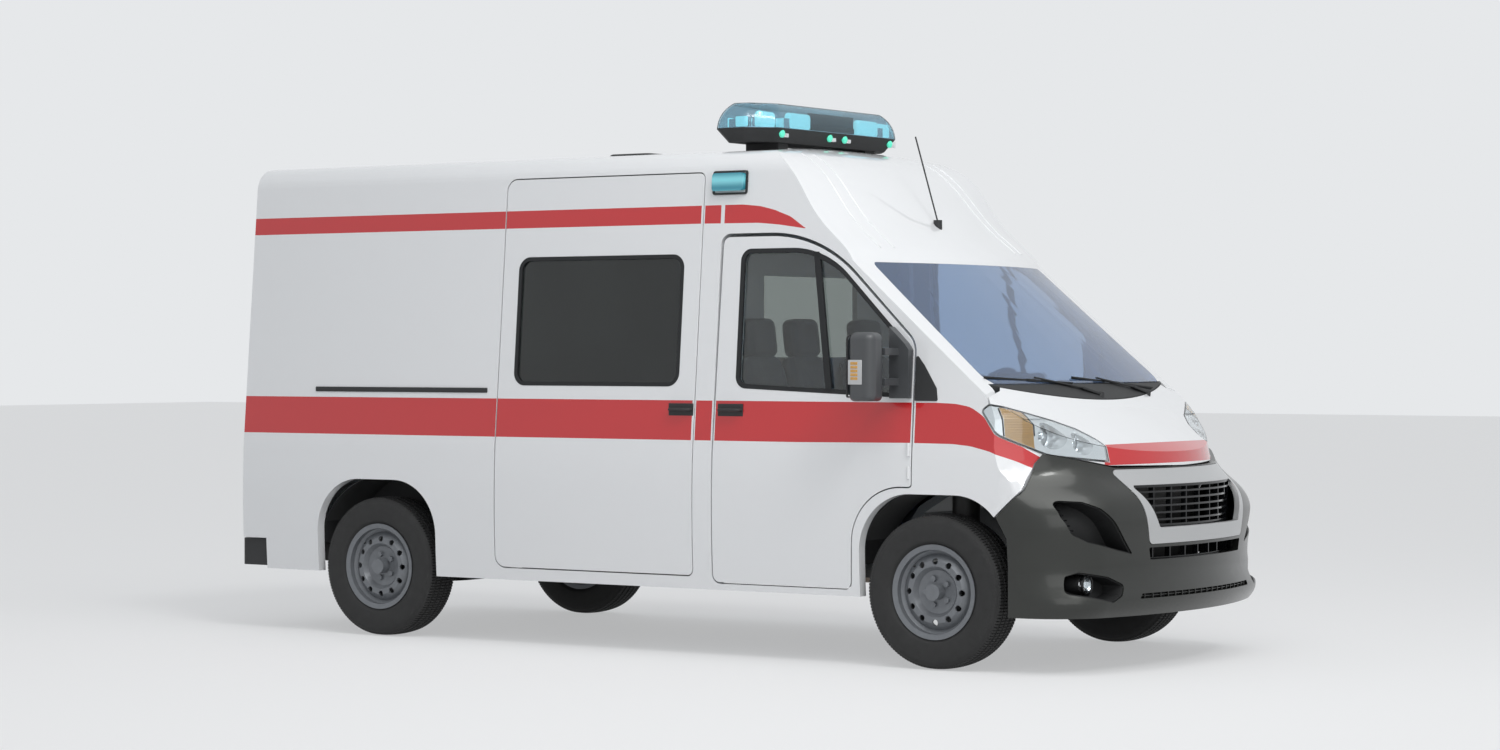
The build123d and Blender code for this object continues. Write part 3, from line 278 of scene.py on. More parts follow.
# Wheel: pressed steel with silver-grey powder coat, slightly pebbled
wheel_coat = mottled("grey_powder_coat_on_steel", ("#6c6f73", "#7b7e82"), 30, (1.4, 0.05),
                     Metallic=0.35, Roughness=0.42)

# Cast iron of knuckles and engine: rough sand-cast skin with rust-brown patches
cast_iron = mottled("sand_cast_iron", ("#4a4745", "#5d5049"), 25, (2.5, 0.35), Metallic=0.7, Roughness=0.7)

# Chassis steel: black wax-dipped paint, half dull
chassis_black = mottled("black_chassis_paint", ("#1b1c1d", "#292826"), 80, (3, 0.08), Roughness=0.5)

# Aluminised exhaust steel: pale, blotched brown by heat
exhaust_steel = mottled("aluminised_steel", ("#8a837b", "#6d5f53"), 70, (2, 0.05), Metallic=1.0, Roughness=0.45)

# Interior trim: soft-grained ABS in mid grey
trim_grey = mottled("grained_grey_abs", ("#4b4d50", "#54565a"), 90, (1.2, 0.1), Roughness=0.55)

# Partition: white coated board
lining_white = mottled("coated_board", ("#c9c9c4", "#d5d5d1"), 200, (3, 0.04), Roughness=0.5)

# Floor: grey vinyl with pale chips
floor_vinyl = mottled("chipped_floor_vinyl", ("#4a4e52", "#84898c"), 4, (2.5, 0.1), Roughness=0.45)


def clear_pane(name, colour, clearness=1.0):
    """Float glass or clear moulding: smooth, and tinted by what is mixed into it."""
    return plain(name, colour, (400, 0.2, 0.0), Roughness=0.02, Transmission_Weight=clearness, IOR=1.5)


# Windscreen: its blue colour, and the haze that its lower clearness lets through, are a painted reflection of a
# blue sky
screen_glass_with_painted_sky = clear_pane("screen_glass_with_painted_sky_blue", "#93acd2", clearness=0.85)
door_glass = clear_pane("clear_door_glass", "#e4e9e6")
privacy_glass = clear_pane("grey_side_glass", "#8b918f")
clear_lens = clear_pane("clear_polycarbonate", "#f4f8fa")

# Vacuum-coated reflector: near-perfect mirror on moulded plastic, in facets 17 mm wide
FACET_MM = 17
lamp_chrome, tree, shader = new_finish(
    "vacuum_aluminium", Base_Color=linear("#eceef0"), Metallic=1.0, Roughness=0.09)
facets = add_node(tree, "ShaderNodeTexVoronoi", {}, {"Vector": in_object_space(tree), "Scale": 1000 / FACET_MM})
raised(tree, shader, facets.outputs["Distance"], 0.5, 3)

# Headlamp housing: satin-metallised plastic, paler than its bowls' fittings
lamp_reflector = plain("satin_metallised_plastic", "#f0f2f3", (16, 0.8), Metallic=0.5, Roughness=0.16)

# Mirror glass
mirror_silver = plain("mirror_silver", "#e9eef2", (500, 0.02), Metallic=1.0, Roughness=0.01)


def lamp_plastic(name, deep, pale, glow=0.0):
    """Coloured polycarbonate lens over a lit or unlit lamp: moulded flutes 6 mm wide show as bands."""
    material, tree, shader = new_finish(
        name, Roughness=0.12, Coat_Weight=0.6, Emission_Strength=glow, Emission_Color=linear(pale))
    vary(tree, shader, 14, deep, pale)
    raised(tree, shader, bands(tree, "Z", 26.0), 0.6, 0.8)
    return material


red_lens = lamp_plastic("red_lamp_lens", "#8d0d12", "#b5161b")
amber_lens = lamp_plastic("amber_lamp_lens", "#b98433", "#d6a75c")
cyan_lamp = lamp_plastic("cyan_lamp_module", "#58c3d0", "#b4f2f4", 1.0)
green_lamp = lamp_plastic("turquoise_lamp_bulb", "#29b896", "#5fe8c4", 0.45)

# Side beacon lens: turquoise polycarbonate with level prism bands 40 mm high, whose paler bands are painted
# highlights
beacon_lens, tree, shader = new_finish(
    "turquoise_beacon_lens", Roughness=0.1, Coat_Weight=0.8, Emission_Color=linear("#6fd0dc"),
    Emission_Strength=0.06)
prisms_and_painted_highlights = bands(tree, "Z", 3.9)
# The prisms' relief is real; the paler colour on every other band is a painted highlight
tree.links.new(mixed(tree, prisms_and_painted_highlights, "#1f7f93", "#7fd3dd"), shader.inputs["Base Color"])
raised(tree, shader, prisms_and_painted_highlights, 0.6, 4)

# Light bar dome: blue polycarbonate that lets the modules show through
dome_blue = plain("blue_polycarbonate_dome", "#b4cdd8", (200, 0.1), Roughness=0.05, Transmission_Weight=0.95,
                  IOR=1.3)

# Seats: flat-woven polyester, dark grey with a fine two-thread weave of 1.4 mm
seat_weave, tree, shader = new_finish(
    "woven_seat_polyester", Roughness=0.85, Sheen_Weight=0.3, Sheen_Roughness=0.5)
weave = math(tree, "MAXIMUM", bands(tree, "X", 110.0), bands(tree, "Z", 110.0))
tree.links.new(mixed(tree, weave, "#3c3f44", "#5c6066"), shader.inputs["Base Color"])
raised(tree, shader, weave, 0.7, 0.6)

# Blank sign inside the light bar: dark grey acrylic with a gloss
sign_acrylic = plain("grey_acrylic_sign", "#2c3135", (40, 0.02), Roughness=0.18)

# Reversing lamps: white moulding
lamp_white = plain("white_lamp_moulding", "#d9dcd8", (5, 0.03), Roughness=0.3)

# Blank plate: white reflective sheet
plate_white = plain("blank_plate_sheet", "#e3e4e0", (0.6, 0.02), Roughness=0.4)

# The finish of each CAD node
DRESS = [
    (striped_paint, ["side_panel_right", "side_panel_left", "sliding_door", "front_door_right", "front_door_left",
                     "fenders"]),
    (bonnet_paint, ["bonnet"]),
    (roof_paint, ["roof", "rear_door_right", "rear_door_left"]),
    (graphite, ["front_bumper"]),
    (silver, ["grille_surround"]),
    (gloss_black, ["grille"]),
    (black_pp, ["cowl", "rear_bumper", "corner_panels", "arch_liners", "light_bar_base", "roof_vent", "antenna"]),
    (mirror_grey, ["mirror_right", "mirror_left"]),
    (chassis_black, ["radiator", "frame_rails", "front_suspension", "rear_axle"]),
    (cast_iron, ["engine", "knuckle_right", "knuckle_left"]),
    (exhaust_steel, ["exhaust"]),
    (screen_glass_with_painted_sky, ["windscreen"]),
    (door_glass, ["front_glass_right", "front_glass_left"]),
    (privacy_glass, ["side_glass", "rear_glass_right", "rear_glass_left"]),
    (clear_lens, ["headlamp_lenses"]),
    (lamp_reflector, ["headlamps"]),
    (red_lens, ["tail_lamps"]),
    (amber_lens, ["indicator_lenses"]),
    (lamp_chrome, ["light_bar_modules"]),
    (sign_acrylic, ["roof_sign"]),
    (pocket_black_with_painted_shade, ["bumper_inserts"]),
    (dome_blue, ["light_bar_lens"]),
    (beacon_lens, ["side_beacons"]),
    (trim_grey, ["dashboard", "steering_wheel"]),
    (lining_white, ["partition"]),
    (floor_vinyl, ["floor"]),
    (seat_weave, ["seats"]),
    (wheel_coat, [f"rim_{end}_{side}" for end in AXLES for side in SIDES]),
    (tyre_rubber, [f"tyre_{end}_{side}" for end in AXLES for side in SIDES]),
]
for material, names in DRESS:
    for name in names:
        slots = nodes[name].material_slots
        if not slots:
            nodes[name].data.materials.append(material)
        for held in slots:
            held.material = material


# Solids and outlines, in millimetres until they are finished

def joined(parts):
    """Several bmesh parts as one."""
    whole = bmesh.new()
    for part in parts:
        carrier = bpy.data.meshes.new("carrier")
        part.to_mesh(carrier)
        part.free()
        whole.from_mesh(carrier)
        bpy.data.meshes.remove(carrier)
    return whole


def moved(part, x, y, z, turn=None):
    """A part turned about its own origin and then shifted."""
    matrix = Matrix.Translation((x, y, z)) @ (turn or Matrix.Identity(4))
    bmesh.ops.transform(part, matrix=matrix, verts=part.verts)
    return part


def block(size, radius, segments=3):
    """A box about the origin with all its edges rounded."""
    made = bmesh.new()
    bmesh.ops.create_cube(made, size=1.0)
    bmesh.ops.scale(made, vec=size, verts=made.verts)
    bmesh.ops.bevel(made, geom=made.edges, offset=radius, offset_type="OFFSET", segments=segments, profile=0.5,
                    affect="EDGES", material=-1, clamp_overlap=True)
    return made


def lathe(profile, steps):
    """A profile of (place along X, radius) turned about the X axis."""
    made = bmesh.new()
    corners = [made.verts.new((x, 0, r)) for x, r in profile]
    sides = [made.edges.new(pair) for pair in zip(corners, corners[1:])]
    bmesh.ops.spin(made, geom=corners + sides, cent=(0, 0, 0), axis=(1, 0, 0), angle=2 * pi, steps=steps,
                   use_merge=True)
    bmesh.ops.remove_doubles(made, verts=made.verts, dist=0.01)
    bmesh.ops.recalc_face_normals(made, faces=made.faces)
    return made


def bar(start, end, width, height, radius):
    """A straight rounded bar between two points, its width level."""
    run = Vector(end) - Vector(start)
    made = block((run.length, width, height), radius)
    turn = run.to_track_quat("X", "Z").to_matrix().to_4x4()
    middle = (Vector(start) + Vector(end)) / 2
    return moved(made, *middle, turn=turn)


def rod(points, radius):
    """A round rod bent smoothly through points."""
    line = bpy.data.curves.new("rod", "CURVE")
    line.dimensions = "3D"
    line.bevel_depth = radius
    line.bevel_resolution = 3
    line.resolution_u = 8
    line.use_fill_caps = True
    run = line.splines.new("BEZIER")
    run.bezier_points.add(len(points) - 1)
    for held, point in zip(run.bezier_points, points):
        held.co = point
        held.handle_left_type = "AUTO"
        held.handle_right_type = "AUTO"
    holder = bpy.data.objects.new("rod", line)
    mesh = bpy.data.meshes.new_from_object(holder)
    made = bmesh.new()
    made.from_mesh(mesh)
    bpy.data.objects.remove(holder)
    bpy.data.curves.remove(line)
    bpy.data.meshes.remove(mesh)
    return made


def plate(corners, radii, spot):
    """A flat face with rounded corners, its points placed by spot(u, v)."""
    made = bmesh.new()
    spots = [spot(*corner) for corner in corners]
    points = [made.verts.new(here) for here in spots]
    made.faces.new(points)
    for index, radius in enumerate(radii):
        back = spots[index - 1] - spots[index]
        ahead = spots[(index + 1) % len(spots)] - spots[index]
        reach = radius / tan(back.angle(ahead) / 2)
        bmesh.ops.bevel(made, geom=[points[index]], offset=reach, offset_type="OFFSET", segments=10,
                        profile=0.5, affect="VERTICES", material=-1)
    return made


def slab(made, shift):
    """A flat sheet carried along a shift into a solid."""
    grown = bmesh.ops.extrude_face_region(made, geom=made.faces[:])["geom"]
    points = [part for part in grown if isinstance(part, bmesh.types.BMVert)]
    bmesh.ops.translate(made, vec=shift, verts=points)
    bmesh.ops.recalc_face_normals(made, faces=made.faces)
    return made


def ring(corners, radii, width, shift, spot):
    """A flat frame of one width round an outline, carried along a shift into a solid."""
    made = plate(corners, radii, spot)
    rim = bmesh.ops.inset_region(made, faces=made.faces[:], thickness=width, use_boundary=True,
                                 use_even_offset=True)["faces"]
    inner = [face for face in made.faces if face not in rim]
    bmesh.ops.delete(made, geom=inner, context="FACES")
    return slab(made, shift)


def add_object(name, mesh, body):
    """A mesh as a piece that rides on one body."""
    thing = bpy.data.objects.new(name, mesh)
    scene.collection.objects.link(thing)
    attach(thing, body)
    return thing


def piece(name, made, material, body, angle=35):
    """Finishes a part given in millimetres from the front axle: metres, its finish and its body."""
    to_frame = Matrix.Translation(place(0, 0, 0)) @ Matrix.Scale(0.001, 4)
    bmesh.ops.transform(made, matrix=to_frame, verts=made.verts)
    mesh = bpy.data.meshes.new(name)
    made.to_mesh(mesh)
    made.free()
    mesh.shade_smooth()
    mesh.set_sharp_from_angle(angle=radians(angle))
    mesh.materials.append(material)
    return add_object(name, mesh, body)


# In metres: how far a panel's edges are rolled, and how near to each other its points are welded
EDGE_ROLL = 0.0015
WELD = 0.00002


def smoothed(name, body):
    """Stands for a CAD panel with the same shape: shaded smooth, with small rolled edges."""
    made = bmesh.new()
    made.from_mesh(nodes[name].data)
    bmesh.ops.remove_doubles(made, verts=made.verts, dist=WELD)
    bmesh.ops.dissolve_limit(made, angle_limit=radians(0.5), verts=made.verts, edges=made.edges)
    mesh = bpy.data.meshes.new(name + "_panel")
    made.to_mesh(mesh)
    made.free()
    mesh.shade_smooth()
    mesh.set_sharp_from_angle(angle=radians(28))
    for held in nodes[name].data.materials:
        mesh.materials.append(held)
    thing = add_object(name + "_panel", mesh, body)
    rolled = thing.modifiers.new("rolled_edges", "BEVEL")
    rolled.width = EDGE_ROLL
    rolled.segments = 2
    rolled.limit_method = "ANGLE"
    rolled.angle_limit = radians(40)
    rolled.use_clamp_overlap = True
    rolled.miter_outer = "MITER_ARC"
    even = thing.modifiers.new("even_shading", "WEIGHTED_NORMAL")
    even.keep_sharp = True
    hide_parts(name)


# Panels whose curves catch the light
BODY_PANELS = ["side_panel_right", "side_panel_left", "roof", "sliding_door", "fenders", "front_bumper",
               "grille_surround", "windscreen", "cowl", "headlamp_lenses", "light_bar_base", "light_bar_lens",
               "steering_wheel", "dashboard"]
for name in BODY_PANELS:
    smoothed(name, "body")
smoothed("bonnet", "bonnet")
for side in SIDES:
    smoothed(f"front_door_{side}", f"front_door_{side}")
    smoothed(f"mirror_{side}", f"front_door_{side}")
    smoothed(f"rear_door_{side}", f"rear_door_{side}")

# Tyres: five rows of tread blocks, four grooves, and a band of fine ribs on each wall
TREAD_EDGES = [(16, 364.5), (24, 364.3), (54, 362.7), (62, 362), (93, 358)]
TREAD_FLOOR = 356
TREAD_ROWS = [(-1, 10), (30, 50), (65, 90)]
BLOCK_DEPTH = 7.4
WALL_PROFILE = [(99, 352), (106, 346), (111, 324), (112.3, 300), (111.5, 272), (107, 250), (105, 243), (98, 238),
                (92, 229), (90, 212)]
WALL_REACH = 105
RIB_BAND = (324, 346)
RIB_DEPTH = 0.8


def tyre():
    """One tyre about the origin with its axle along X."""
    half = TREAD_EDGES + WALL_PROFILE
    profile = [(-x, r) for x, r in reversed(half)] + half
    made = lathe(profile + profile[:1], steps=144)
    blocks = []
    ribs = []
    for face in made.faces:
        middle = face.calc_center_median()
        reach = abs(middle.x)
        radius = Vector((middle.y, middle.z)).length
        if radius > TREAD_FLOOR and any(low < reach < high for low, high in TREAD_ROWS):
            blocks.append(face)
        elif RIB_BAND[0] < radius < RIB_BAND[1] and reach > WALL_REACH:
            ribs.append(face)
    bmesh.ops.inset_individual(made, faces=blocks, thickness=2.6, depth=BLOCK_DEPTH, use_even_offset=True)
    bmesh.ops.inset_individual(made, faces=ribs, thickness=2.4, depth=RIB_DEPTH, use_even_offset=True)
    return made


for end, (track, axle_y) in AXLES.items():
    for side, sign in SIDES.items():
        made = moved(tyre(), sign * track, axle_y, TYRE_R)
        tread = piece(f"tyre_tread_{end}_{side}", made, tyre_rubber, f"wheel_{end}_{side}", angle=50)
        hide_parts(f"tyre_{end}_{side}")

# Wheel details: five nuts and a valve stem; how far out they sit is counted from the tyre's middle
NUT_CIRCLE = 65
NUT_OUT = 44
VALVE_PROFILE = [(-18, 0), (-18, 4), (10, 4), (10, 5.5), (22, 5.5), (24, 3), (24, 0)]
VALVE_OUT = 62
VALVE_OFFSET = 118
ALONG_AXLE = Matrix.Rotation(pi / 2, 4, "Y")
for end, (track, axle_y) in AXLES.items():
    for side, sign in SIDES.items():
        fittings = []
        for turn in range(5):
            angle = 2 * pi * turn / 5
            nut = bmesh.new()
            bmesh.ops.create_cone(nut, cap_ends=True, segments=6, radius1=11, radius2=10, depth=16)
            bmesh.ops.bevel(nut, geom=nut.edges, offset=1.2, segments=2, profile=0.5, affect="EDGES",
                            material=-1)
            fittings.append(moved(nut, sign * (track + NUT_OUT), axle_y + NUT_CIRCLE * sin(angle),
                                  TYRE_R + NUT_CIRCLE * cos(angle), turn=ALONG_AXLE))
        piece(f"wheel_nuts_{end}_{side}", joined(fittings), chassis_black, f"wheel_{end}_{side}")
        stem = moved(lathe(VALVE_PROFILE, steps=16), sign * (track + VALVE_OUT), axle_y + VALVE_OFFSET,
                     TYRE_R + VALVE_OFFSET)
        piece(f"valve_{end}_{side}", stem, seal_rubber, f"wheel_{end}_{side}")

# Wipers at rest: pivots, arms and blades
WIPERS = [
    {"pivot": (-50, -392, 1310), "joint": (-525, -284, 1395), "ends": [(-890, -214, 1398), (-240, -338, 1366)]},
    {"pivot": (503, -366, 1312), "joint": (38, -322, 1390), "ends": [(-189, -308, 1394), (620, -335, 1336)]},
]
PIVOT_CAP = [(-22, 0), (-22, 20), (8, 20), (14, 14), (16, 0)]
PIVOT_LEAN = Matrix.Rotation(-pi / 2.4, 4, "Y")
RUBBER_DROP = Vector((0, 4, -7))
for number, wiper in enumerate(WIPERS, start=1):
    base = Vector(wiper["pivot"])
    joint = Vector(wiper["joint"])
    knuckle = base.lerp(joint, 0.3) + Vector((0, -4, 8))
    cap = moved(lathe(PIVOT_CAP, steps=32), *base, turn=PIVOT_LEAN)
    arm = joined([cap, bar(base, knuckle, 26, 14, 4), bar(knuckle, joint, 13, 8, 2.5)])
    piece(f"wiper_arm_{number}", arm, black_pp, "body")
    left, right = [Vector(end) for end in wiper["ends"]]
    blade = joined([bar(left, right, 12, 9, 2), bar(left + RUBBER_DROP, right + RUBBER_DROP, 4, 9, 1),
                    bar(left.lerp(right, 0.47), left.lerp(right, 0.57), 20, 15, 4)])
    piece(f"wiper_blade_{number}", blade, seal_rubber, "body")


WAIST_X = 1019
WAIST_Z = 1020


def side_x(height):
    """How far out the flat upper side stands at one height: it leans in 124 mm over 1498 mm."""
    return WAIST_X - 124 * (height - WAIST_Z) / 1498


def on_side(sign, proud):
    """Placer for outlines drawn as (distance behind the front axle, height) on a flat upper side."""
    return lambda y, z: Vector((sign * (side_x(z) + proud), y, z))


def on_rear(sign, proud):
    """Placer for outlines drawn as (distance from the middle, height) on the flat rear."""
    return lambda x, z: Vector((sign * x, REAR_FACE + proud, z))


# Door glass: black seals, and the bar between the pane and the quarter light
DOOR_WINDOW = [(1148, 1340), (1148, 2031), (652, 2031), (225, 1618), (215, 1300)]
DOOR_WINDOW_RADII = [60, 60, 480, 40, 40]
QUARTER_BAR = [(687, 2010), (721, 2010), (616, 1326), (582, 1326)]
SLIDE_WINDOW = [(1492, 1345), (1492, 2010), (2540, 2010), (2540, 1345)]
for side, sign in SIDES.items():
    spot = on_side(sign, 1)
    inward = (-14 * sign, 0, 0)
    seal = ring(DOOR_WINDOW, DOOR_WINDOW_RADII, 22, inward, spot)
    divider = slab(plate(QUARTER_BAR, [1, 1, 1, 1], spot), inward)
    piece(f"door_glass_seal_{side}", joined([seal, divider]), seal_rubber, f"front_door_{side}")
    surround = ring(SLIDE_WINDOW, [70, 70, 70, 70], 20, inward, spot)
    piece(f"side_glass_seal_{side}", surround, seal_rubber, "body")

# Handles: a pull with a flat well behind it on each front door and the sliding door
HANDLES = [("front_door_right", "right", 1170), ("front_door_left", "left", 1170), ("body", "right", 1470)]
HANDLE_Z = 1230
GRIP = [(-4, -66), (24, -52), (30, 0), (24, 52), (-4, 66)]
for body, side, y in HANDLES:
    sign = SIDES[side]
    out = side_x(HANDLE_Z)
    well = moved(block((6, 150, 62), 2.5), sign * (out + 1), y, HANDLE_Z)
    grip = rod([(sign * (out + proud), y + along, HANDLE_Z) for proud, along in GRIP], 9)
    piece(f"handle_{body}_{side}", joined([well, grip]), black_pp, body)


def skin(name):
    """The surface of a CAD node, for finding points on it."""
    made = bmesh.new()
    made.from_mesh(nodes[name].data)
    tree = BVHTree.FromBMesh(made)
    made.free()
    return tree


def ahead_on(tree, x, z, inward=0.0):
    """Where a skin faces the front at one place across and one height, in millimetres."""
    spot = tree.ray_cast(place(x, -3000, z), Vector((0, 1, 0)))[0]
    return Vector((x, spot.y * 1000 + AXLE_TO_MIDDLE + inward, z)) if spot else None


# Brow: two raised swages run up each side of the roof front, leaning 5 mm inward every 37 mm
SWAGE_FOOT = 2030
roof_skin = skin("roof")
for side, sign in SIDES.items():
    swages = []
    for x in (612, 708):
        run = [ahead_on(roof_skin, sign * (x - 5 * step), SWAGE_FOOT + 37 * step, 3) for step in range(14)]
        swages.append(rod([spot for spot in run if spot], 6.5))
    piece(f"brow_swages_{side}", joined(swages), roof_paint, "body")

# Headlamps: a chrome shade over each bulb and a collar round it, and black posts behind the lens
FORWARD = Matrix.Rotation(-pi / 2, 4, "Z")
BOWLS = [((-790, -458, 1120), 60), ((-656, -552, 1080), 48)]
SHADE = [(-0.2, 0), (-0.2, 0.3), (0.5, 0.3), (0.62, 0.22), (0.66, 0)]
for side, sign in SIDES.items():
    shades = []
    for (x, y, z), radius in BOWLS:
        cap = lathe([(along * radius, out * radius) for along, out in SHADE], steps=32)
        shades.append(moved(cap, -sign * x, y + 0.3 * radius, z, turn=FORWARD))
        collar = lathe([(0, 0.86 * radius), (0, 0.98 * radius), (6, 0.98 * radius), (6, 0.86 * radius),
                        (0, 0.86 * radius)], steps=40)
        shades.append(moved(collar, -sign * x, y - 6, z, turn=FORWARD))
    piece(f"lamp_bulb_shades_{side}", joined(shades), lamp_chrome, "body")

lens_skin = skin("headlamp_lenses")
for side, sign in SIDES.items():
    posts = []
    for x in (862, 972):
        run = [ahead_on(lens_skin, sign * x, height, 12) for height in range(1120, 1290, 12)]
        posts.append(rod([spot for spot in run if spot], 4))
    piece(f"lamp_dividers_{side}", joined(posts), gloss_black, "body")

# Fog lamps: reflector cup, clear front and its ring
FOG_LAMP = (831, -708, 425)
FOG_PARTS = [
    ("cup", [(2, 0), (2, 12), (14, 30), (26, 38), (26, 41), (0, 41), (0, 0)], lamp_chrome),
    ("front", [(27, 0), (30, 20), (27, 37), (24, 37), (27, 20), (24, 0)], clear_lens),
    ("ring", [(18, 42), (30, 42), (33, 46), (30, 51), (18, 51), (18, 42)], gloss_black),
]
for side, sign in SIDES.items():
    x, y, z = FOG_LAMP
    for kind, profile, material in FOG_PARTS:
        turned = moved(lathe(profile, steps=40), sign * x, y, z, turn=FORWARD)
        piece(f"fog_lamp_{kind}_{side}", turned, material, "body")

# Lower slots: a level bar with upright fins; side pockets: short ribs at their outer end
SLOT_TOP = 384
SLOT_DROP = 20
bumper_skin = skin("front_bumper")
slot_parts = []
for step in range(-9, 10):
    spot = ahead_on(bumper_skin, 60 * step, SLOT_TOP, 12)
    slot_parts.append(moved(block((5, 16, 26), 1), spot.x, spot.y, SLOT_TOP - SLOT_DROP))
edges = [ahead_on(bumper_skin, 40 * step, SLOT_TOP, 10) - Vector((0, 0, SLOT_DROP)) for step in range(-14, 15)]
slot_parts.append(rod(edges, 2.4))
piece("lower_slot_fins", joined(slot_parts), graphite, "body")
# Height of each rib, and where the pocket's outer edge is at that height
POCKET_RIBS = [(800, 950), (776, 952), (752, 952), (728, 948), (704, 942), (680, 934)]
for side, sign in SIDES.items():
    ribs = []
    for height, edge in POCKET_RIBS:
        spot = ahead_on(bumper_skin, sign * (edge + 8), height)
        if spot:
            ribs.append(moved(block((46, 34, 6), 1.5), sign * (edge - 27), spot.y + 12, height))
    piece(f"pocket_ribs_{side}", joined(ribs), gloss_black, "body")

# Side beacons: a black frame round each lens
BEACON = [(1128, 2304), (1336, 2304), (1336, 2424), (1128, 2424)]
for side, sign in SIDES.items():
    frame_ring = ring(BEACON, [14, 14, 14, 14], 10, (-16 * sign, 0, 0), on_side(sign, 8))
    piece(f"beacon_frame_{side}", frame_ring, black_pp, "body")

# Light bar: glowing domed lamps at its front and ends, flat ones at its rear, the sign's frame, and
# four small lamps with their cups on the base
BAR_DOMES = [(330, 1213, 204), (556, 1262, 150)]
BAR_LAMP_Z = 2690
for side, sign in SIDES.items():
    domes = [moved(block((width, 44, 86), 20, 5), sign * x, y, 2699) for x, y, width in BAR_DOMES]
    domes.append(moved(block((20, 70, 52), 8, 4), sign * 642, 1345, BAR_LAMP_Z))
    piece(f"bar_domes_{side}", joined(domes), cyan_lamp, "body")
    rear = [moved(block((110, 12, 52), 5), sign * x, 1470, BAR_LAMP_Z) for x in (75, 225, 375, 525)]
    piece(f"bar_rear_lamps_{side}", joined(rear), cyan_lamp, "body")
SIGN_FRONT = 1224
sign_frame = [moved(block((430, 16, 10), 2), 0, SIGN_FRONT, 2747),
              moved(block((10, 22, 92), 2), -206, SIGN_FRONT, 2702),
              moved(block((10, 22, 92), 2), 206, SIGN_FRONT, 2702),
              moved(block((412, 10, 34), 2), 0, SIGN_FRONT - 14, 2676)]
piece("bar_sign_frame", joined(sign_frame), black_pp, "body")
BASE_LAMPS = [-508, -57, 88, 538]
BASE_LAMP_Z = 2629
BULB = [(0, 0), (0, 21), (9, 21), (16, 13), (18, 0)]
bulbs = [moved(lathe(BULB, steps=32), x - 14, 1184, BASE_LAMP_Z, turn=FORWARD) for x in BASE_LAMPS]
piece("bar_base_bulbs", joined(bulbs), green_lamp, "body")
cups = [moved(block((44, 14, 36), 6), x + 34, 1188, BASE_LAMP_Z) for x in BASE_LAMPS]
piece("bar_base_cups", joined(cups), lamp_chrome, "body")

# Door mirrors: the main glass above, the wide-angle glass below, and the repeater on the outer side
MIRROR_X = 1192
MIRROR_BEZEL = [(-56, -148), (56, -148), (56, 152), (-56, 152)]
for side, sign in SIDES.items():
    upper = moved(block((96, 4, 186), 1.8), sign * MIRROR_X, 334, 1494)
    lower = moved(block((96, 4, 74), 1.8), sign * MIRROR_X, 334, 1350)
    piece(f"mirror_glass_{side}", joined([upper, lower]), mirror_silver, f"front_door_{side}")
    bezel = ring(MIRROR_BEZEL, [12, 12, 26, 26], 7, (0, -8, 0),
                 lambda u, v, sign=sign: Vector((sign * MIRROR_X + u, 339, 1448 + v)))
    piece(f"mirror_bezel_{side}", bezel, black_pp, f"front_door_{side}")
    lens_case = moved(block((8, 78, 118), 3), sign * 1254, 284, 1422)
    piece(f"mirror_repeater_case_{side}", lens_case, silver, f"front_door_{side}")
    strips = [moved(block((6, 40, 14), 2), sign * 1257, 288, 1392 + 18 * step) for step in range(5)]
    piece(f"mirror_repeater_{side}", joined(strips), amber_lens, f"front_door_{side}")

# Foam pads, as shares of a pad's half size: how much the middle swells, the borders roll down, the
# corners draw in across and along, and the top and bottom tuck in. Flutes are in millimetres.
CROWN = 0.14
BORDER_ROLL = 0.34
CORNER_ACROSS = 0.13
CORNER_ALONG = 0.1
TUCK = 0.035
FLUTE_DEPTH = 7.0


def cushion(name, size, spot, lean, flutes=0):
    """A foam pad: rolled at its borders, rounded at its corners, crowned, and sewn in lengthwise flutes."""
    made = bmesh.new()
    bmesh.ops.create_cube(made, size=2.0)
    bmesh.ops.subdivide_edges(made, edges=made.edges, cuts=15, use_grid_fill=True)
    width, depth, height = [extent / 2 for extent in size]
    for point in made.verts:
        u, v, w = point.co
        swell = (1 - u ** 4) * (1 - v ** 4)
        quilt = 0.0
        if flutes:
            quilt = FLUTE_DEPTH * abs(sin(pi * flutes * (u + 1) / 2)) ** 0.5 - FLUTE_DEPTH
        rolled = 1 - BORDER_ROLL * max(abs(u), abs(v)) ** 10
        lift = (height + CROWN * height * swell + quilt * swell) * w * rolled
        tuck = 1 - TUCK * w ** 6
        point.co = (u * width * (1 - CORNER_ACROSS * v ** 8) * tuck,
                    v * depth * (1 - CORNER_ALONG * u ** 8) * tuck, lift)
    moved(made, *spot, turn=Matrix.Rotation(radians(lean), 4, "X"))
    thing = piece(name, made, seat_weave, "body", angle=180)
    soft = thing.modifiers.new("soft_edges", "SUBSURF")
    soft.levels = 2
    soft.render_levels = 2
    return thing


# Seats: foam cushions on plain boxes, a double one for passengers and a single one for the driver
SEAT_WIDTHS = {"driver": 480, "passenger_window": 392, "passenger_middle": 392}
BACK_LEAN = 79
for name, x in SEAT_CENTRES.items():
    width = SEAT_WIDTHS[name]
    base = cushion(f"seat_cushion_{name}", (width, 410, 120), (x, 965, 836), 3, 5)
    cushion(f"seat_back_{name}", (width - 16, 620, 96), (x, 1222, 1190), BACK_LEAN, 5)
    cushion(f"headrest_{name}", (262, 200, 84), (x, 1284, 1588), BACK_LEAN + 4)
    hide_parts("seats")
frames = []
for x, width in ((445, 400), (-380, 720)):
    frames.append(moved(block((width, 340, 272), 12), x, 1010, 638))
    frames.append(moved(block((width, 14, 560), 6), x, 1262, 1180, turn=Matrix.Rotation(radians(-11), 4, "X")))
for x in SEAT_CENTRES.values():
    for reach in (-46, 46):
        frames.append(rod([(x + reach, 1268, 1460), (x + reach, 1280, 1530)], 6))
piece("seat_frames", joined(frames), trim_grey, "body")

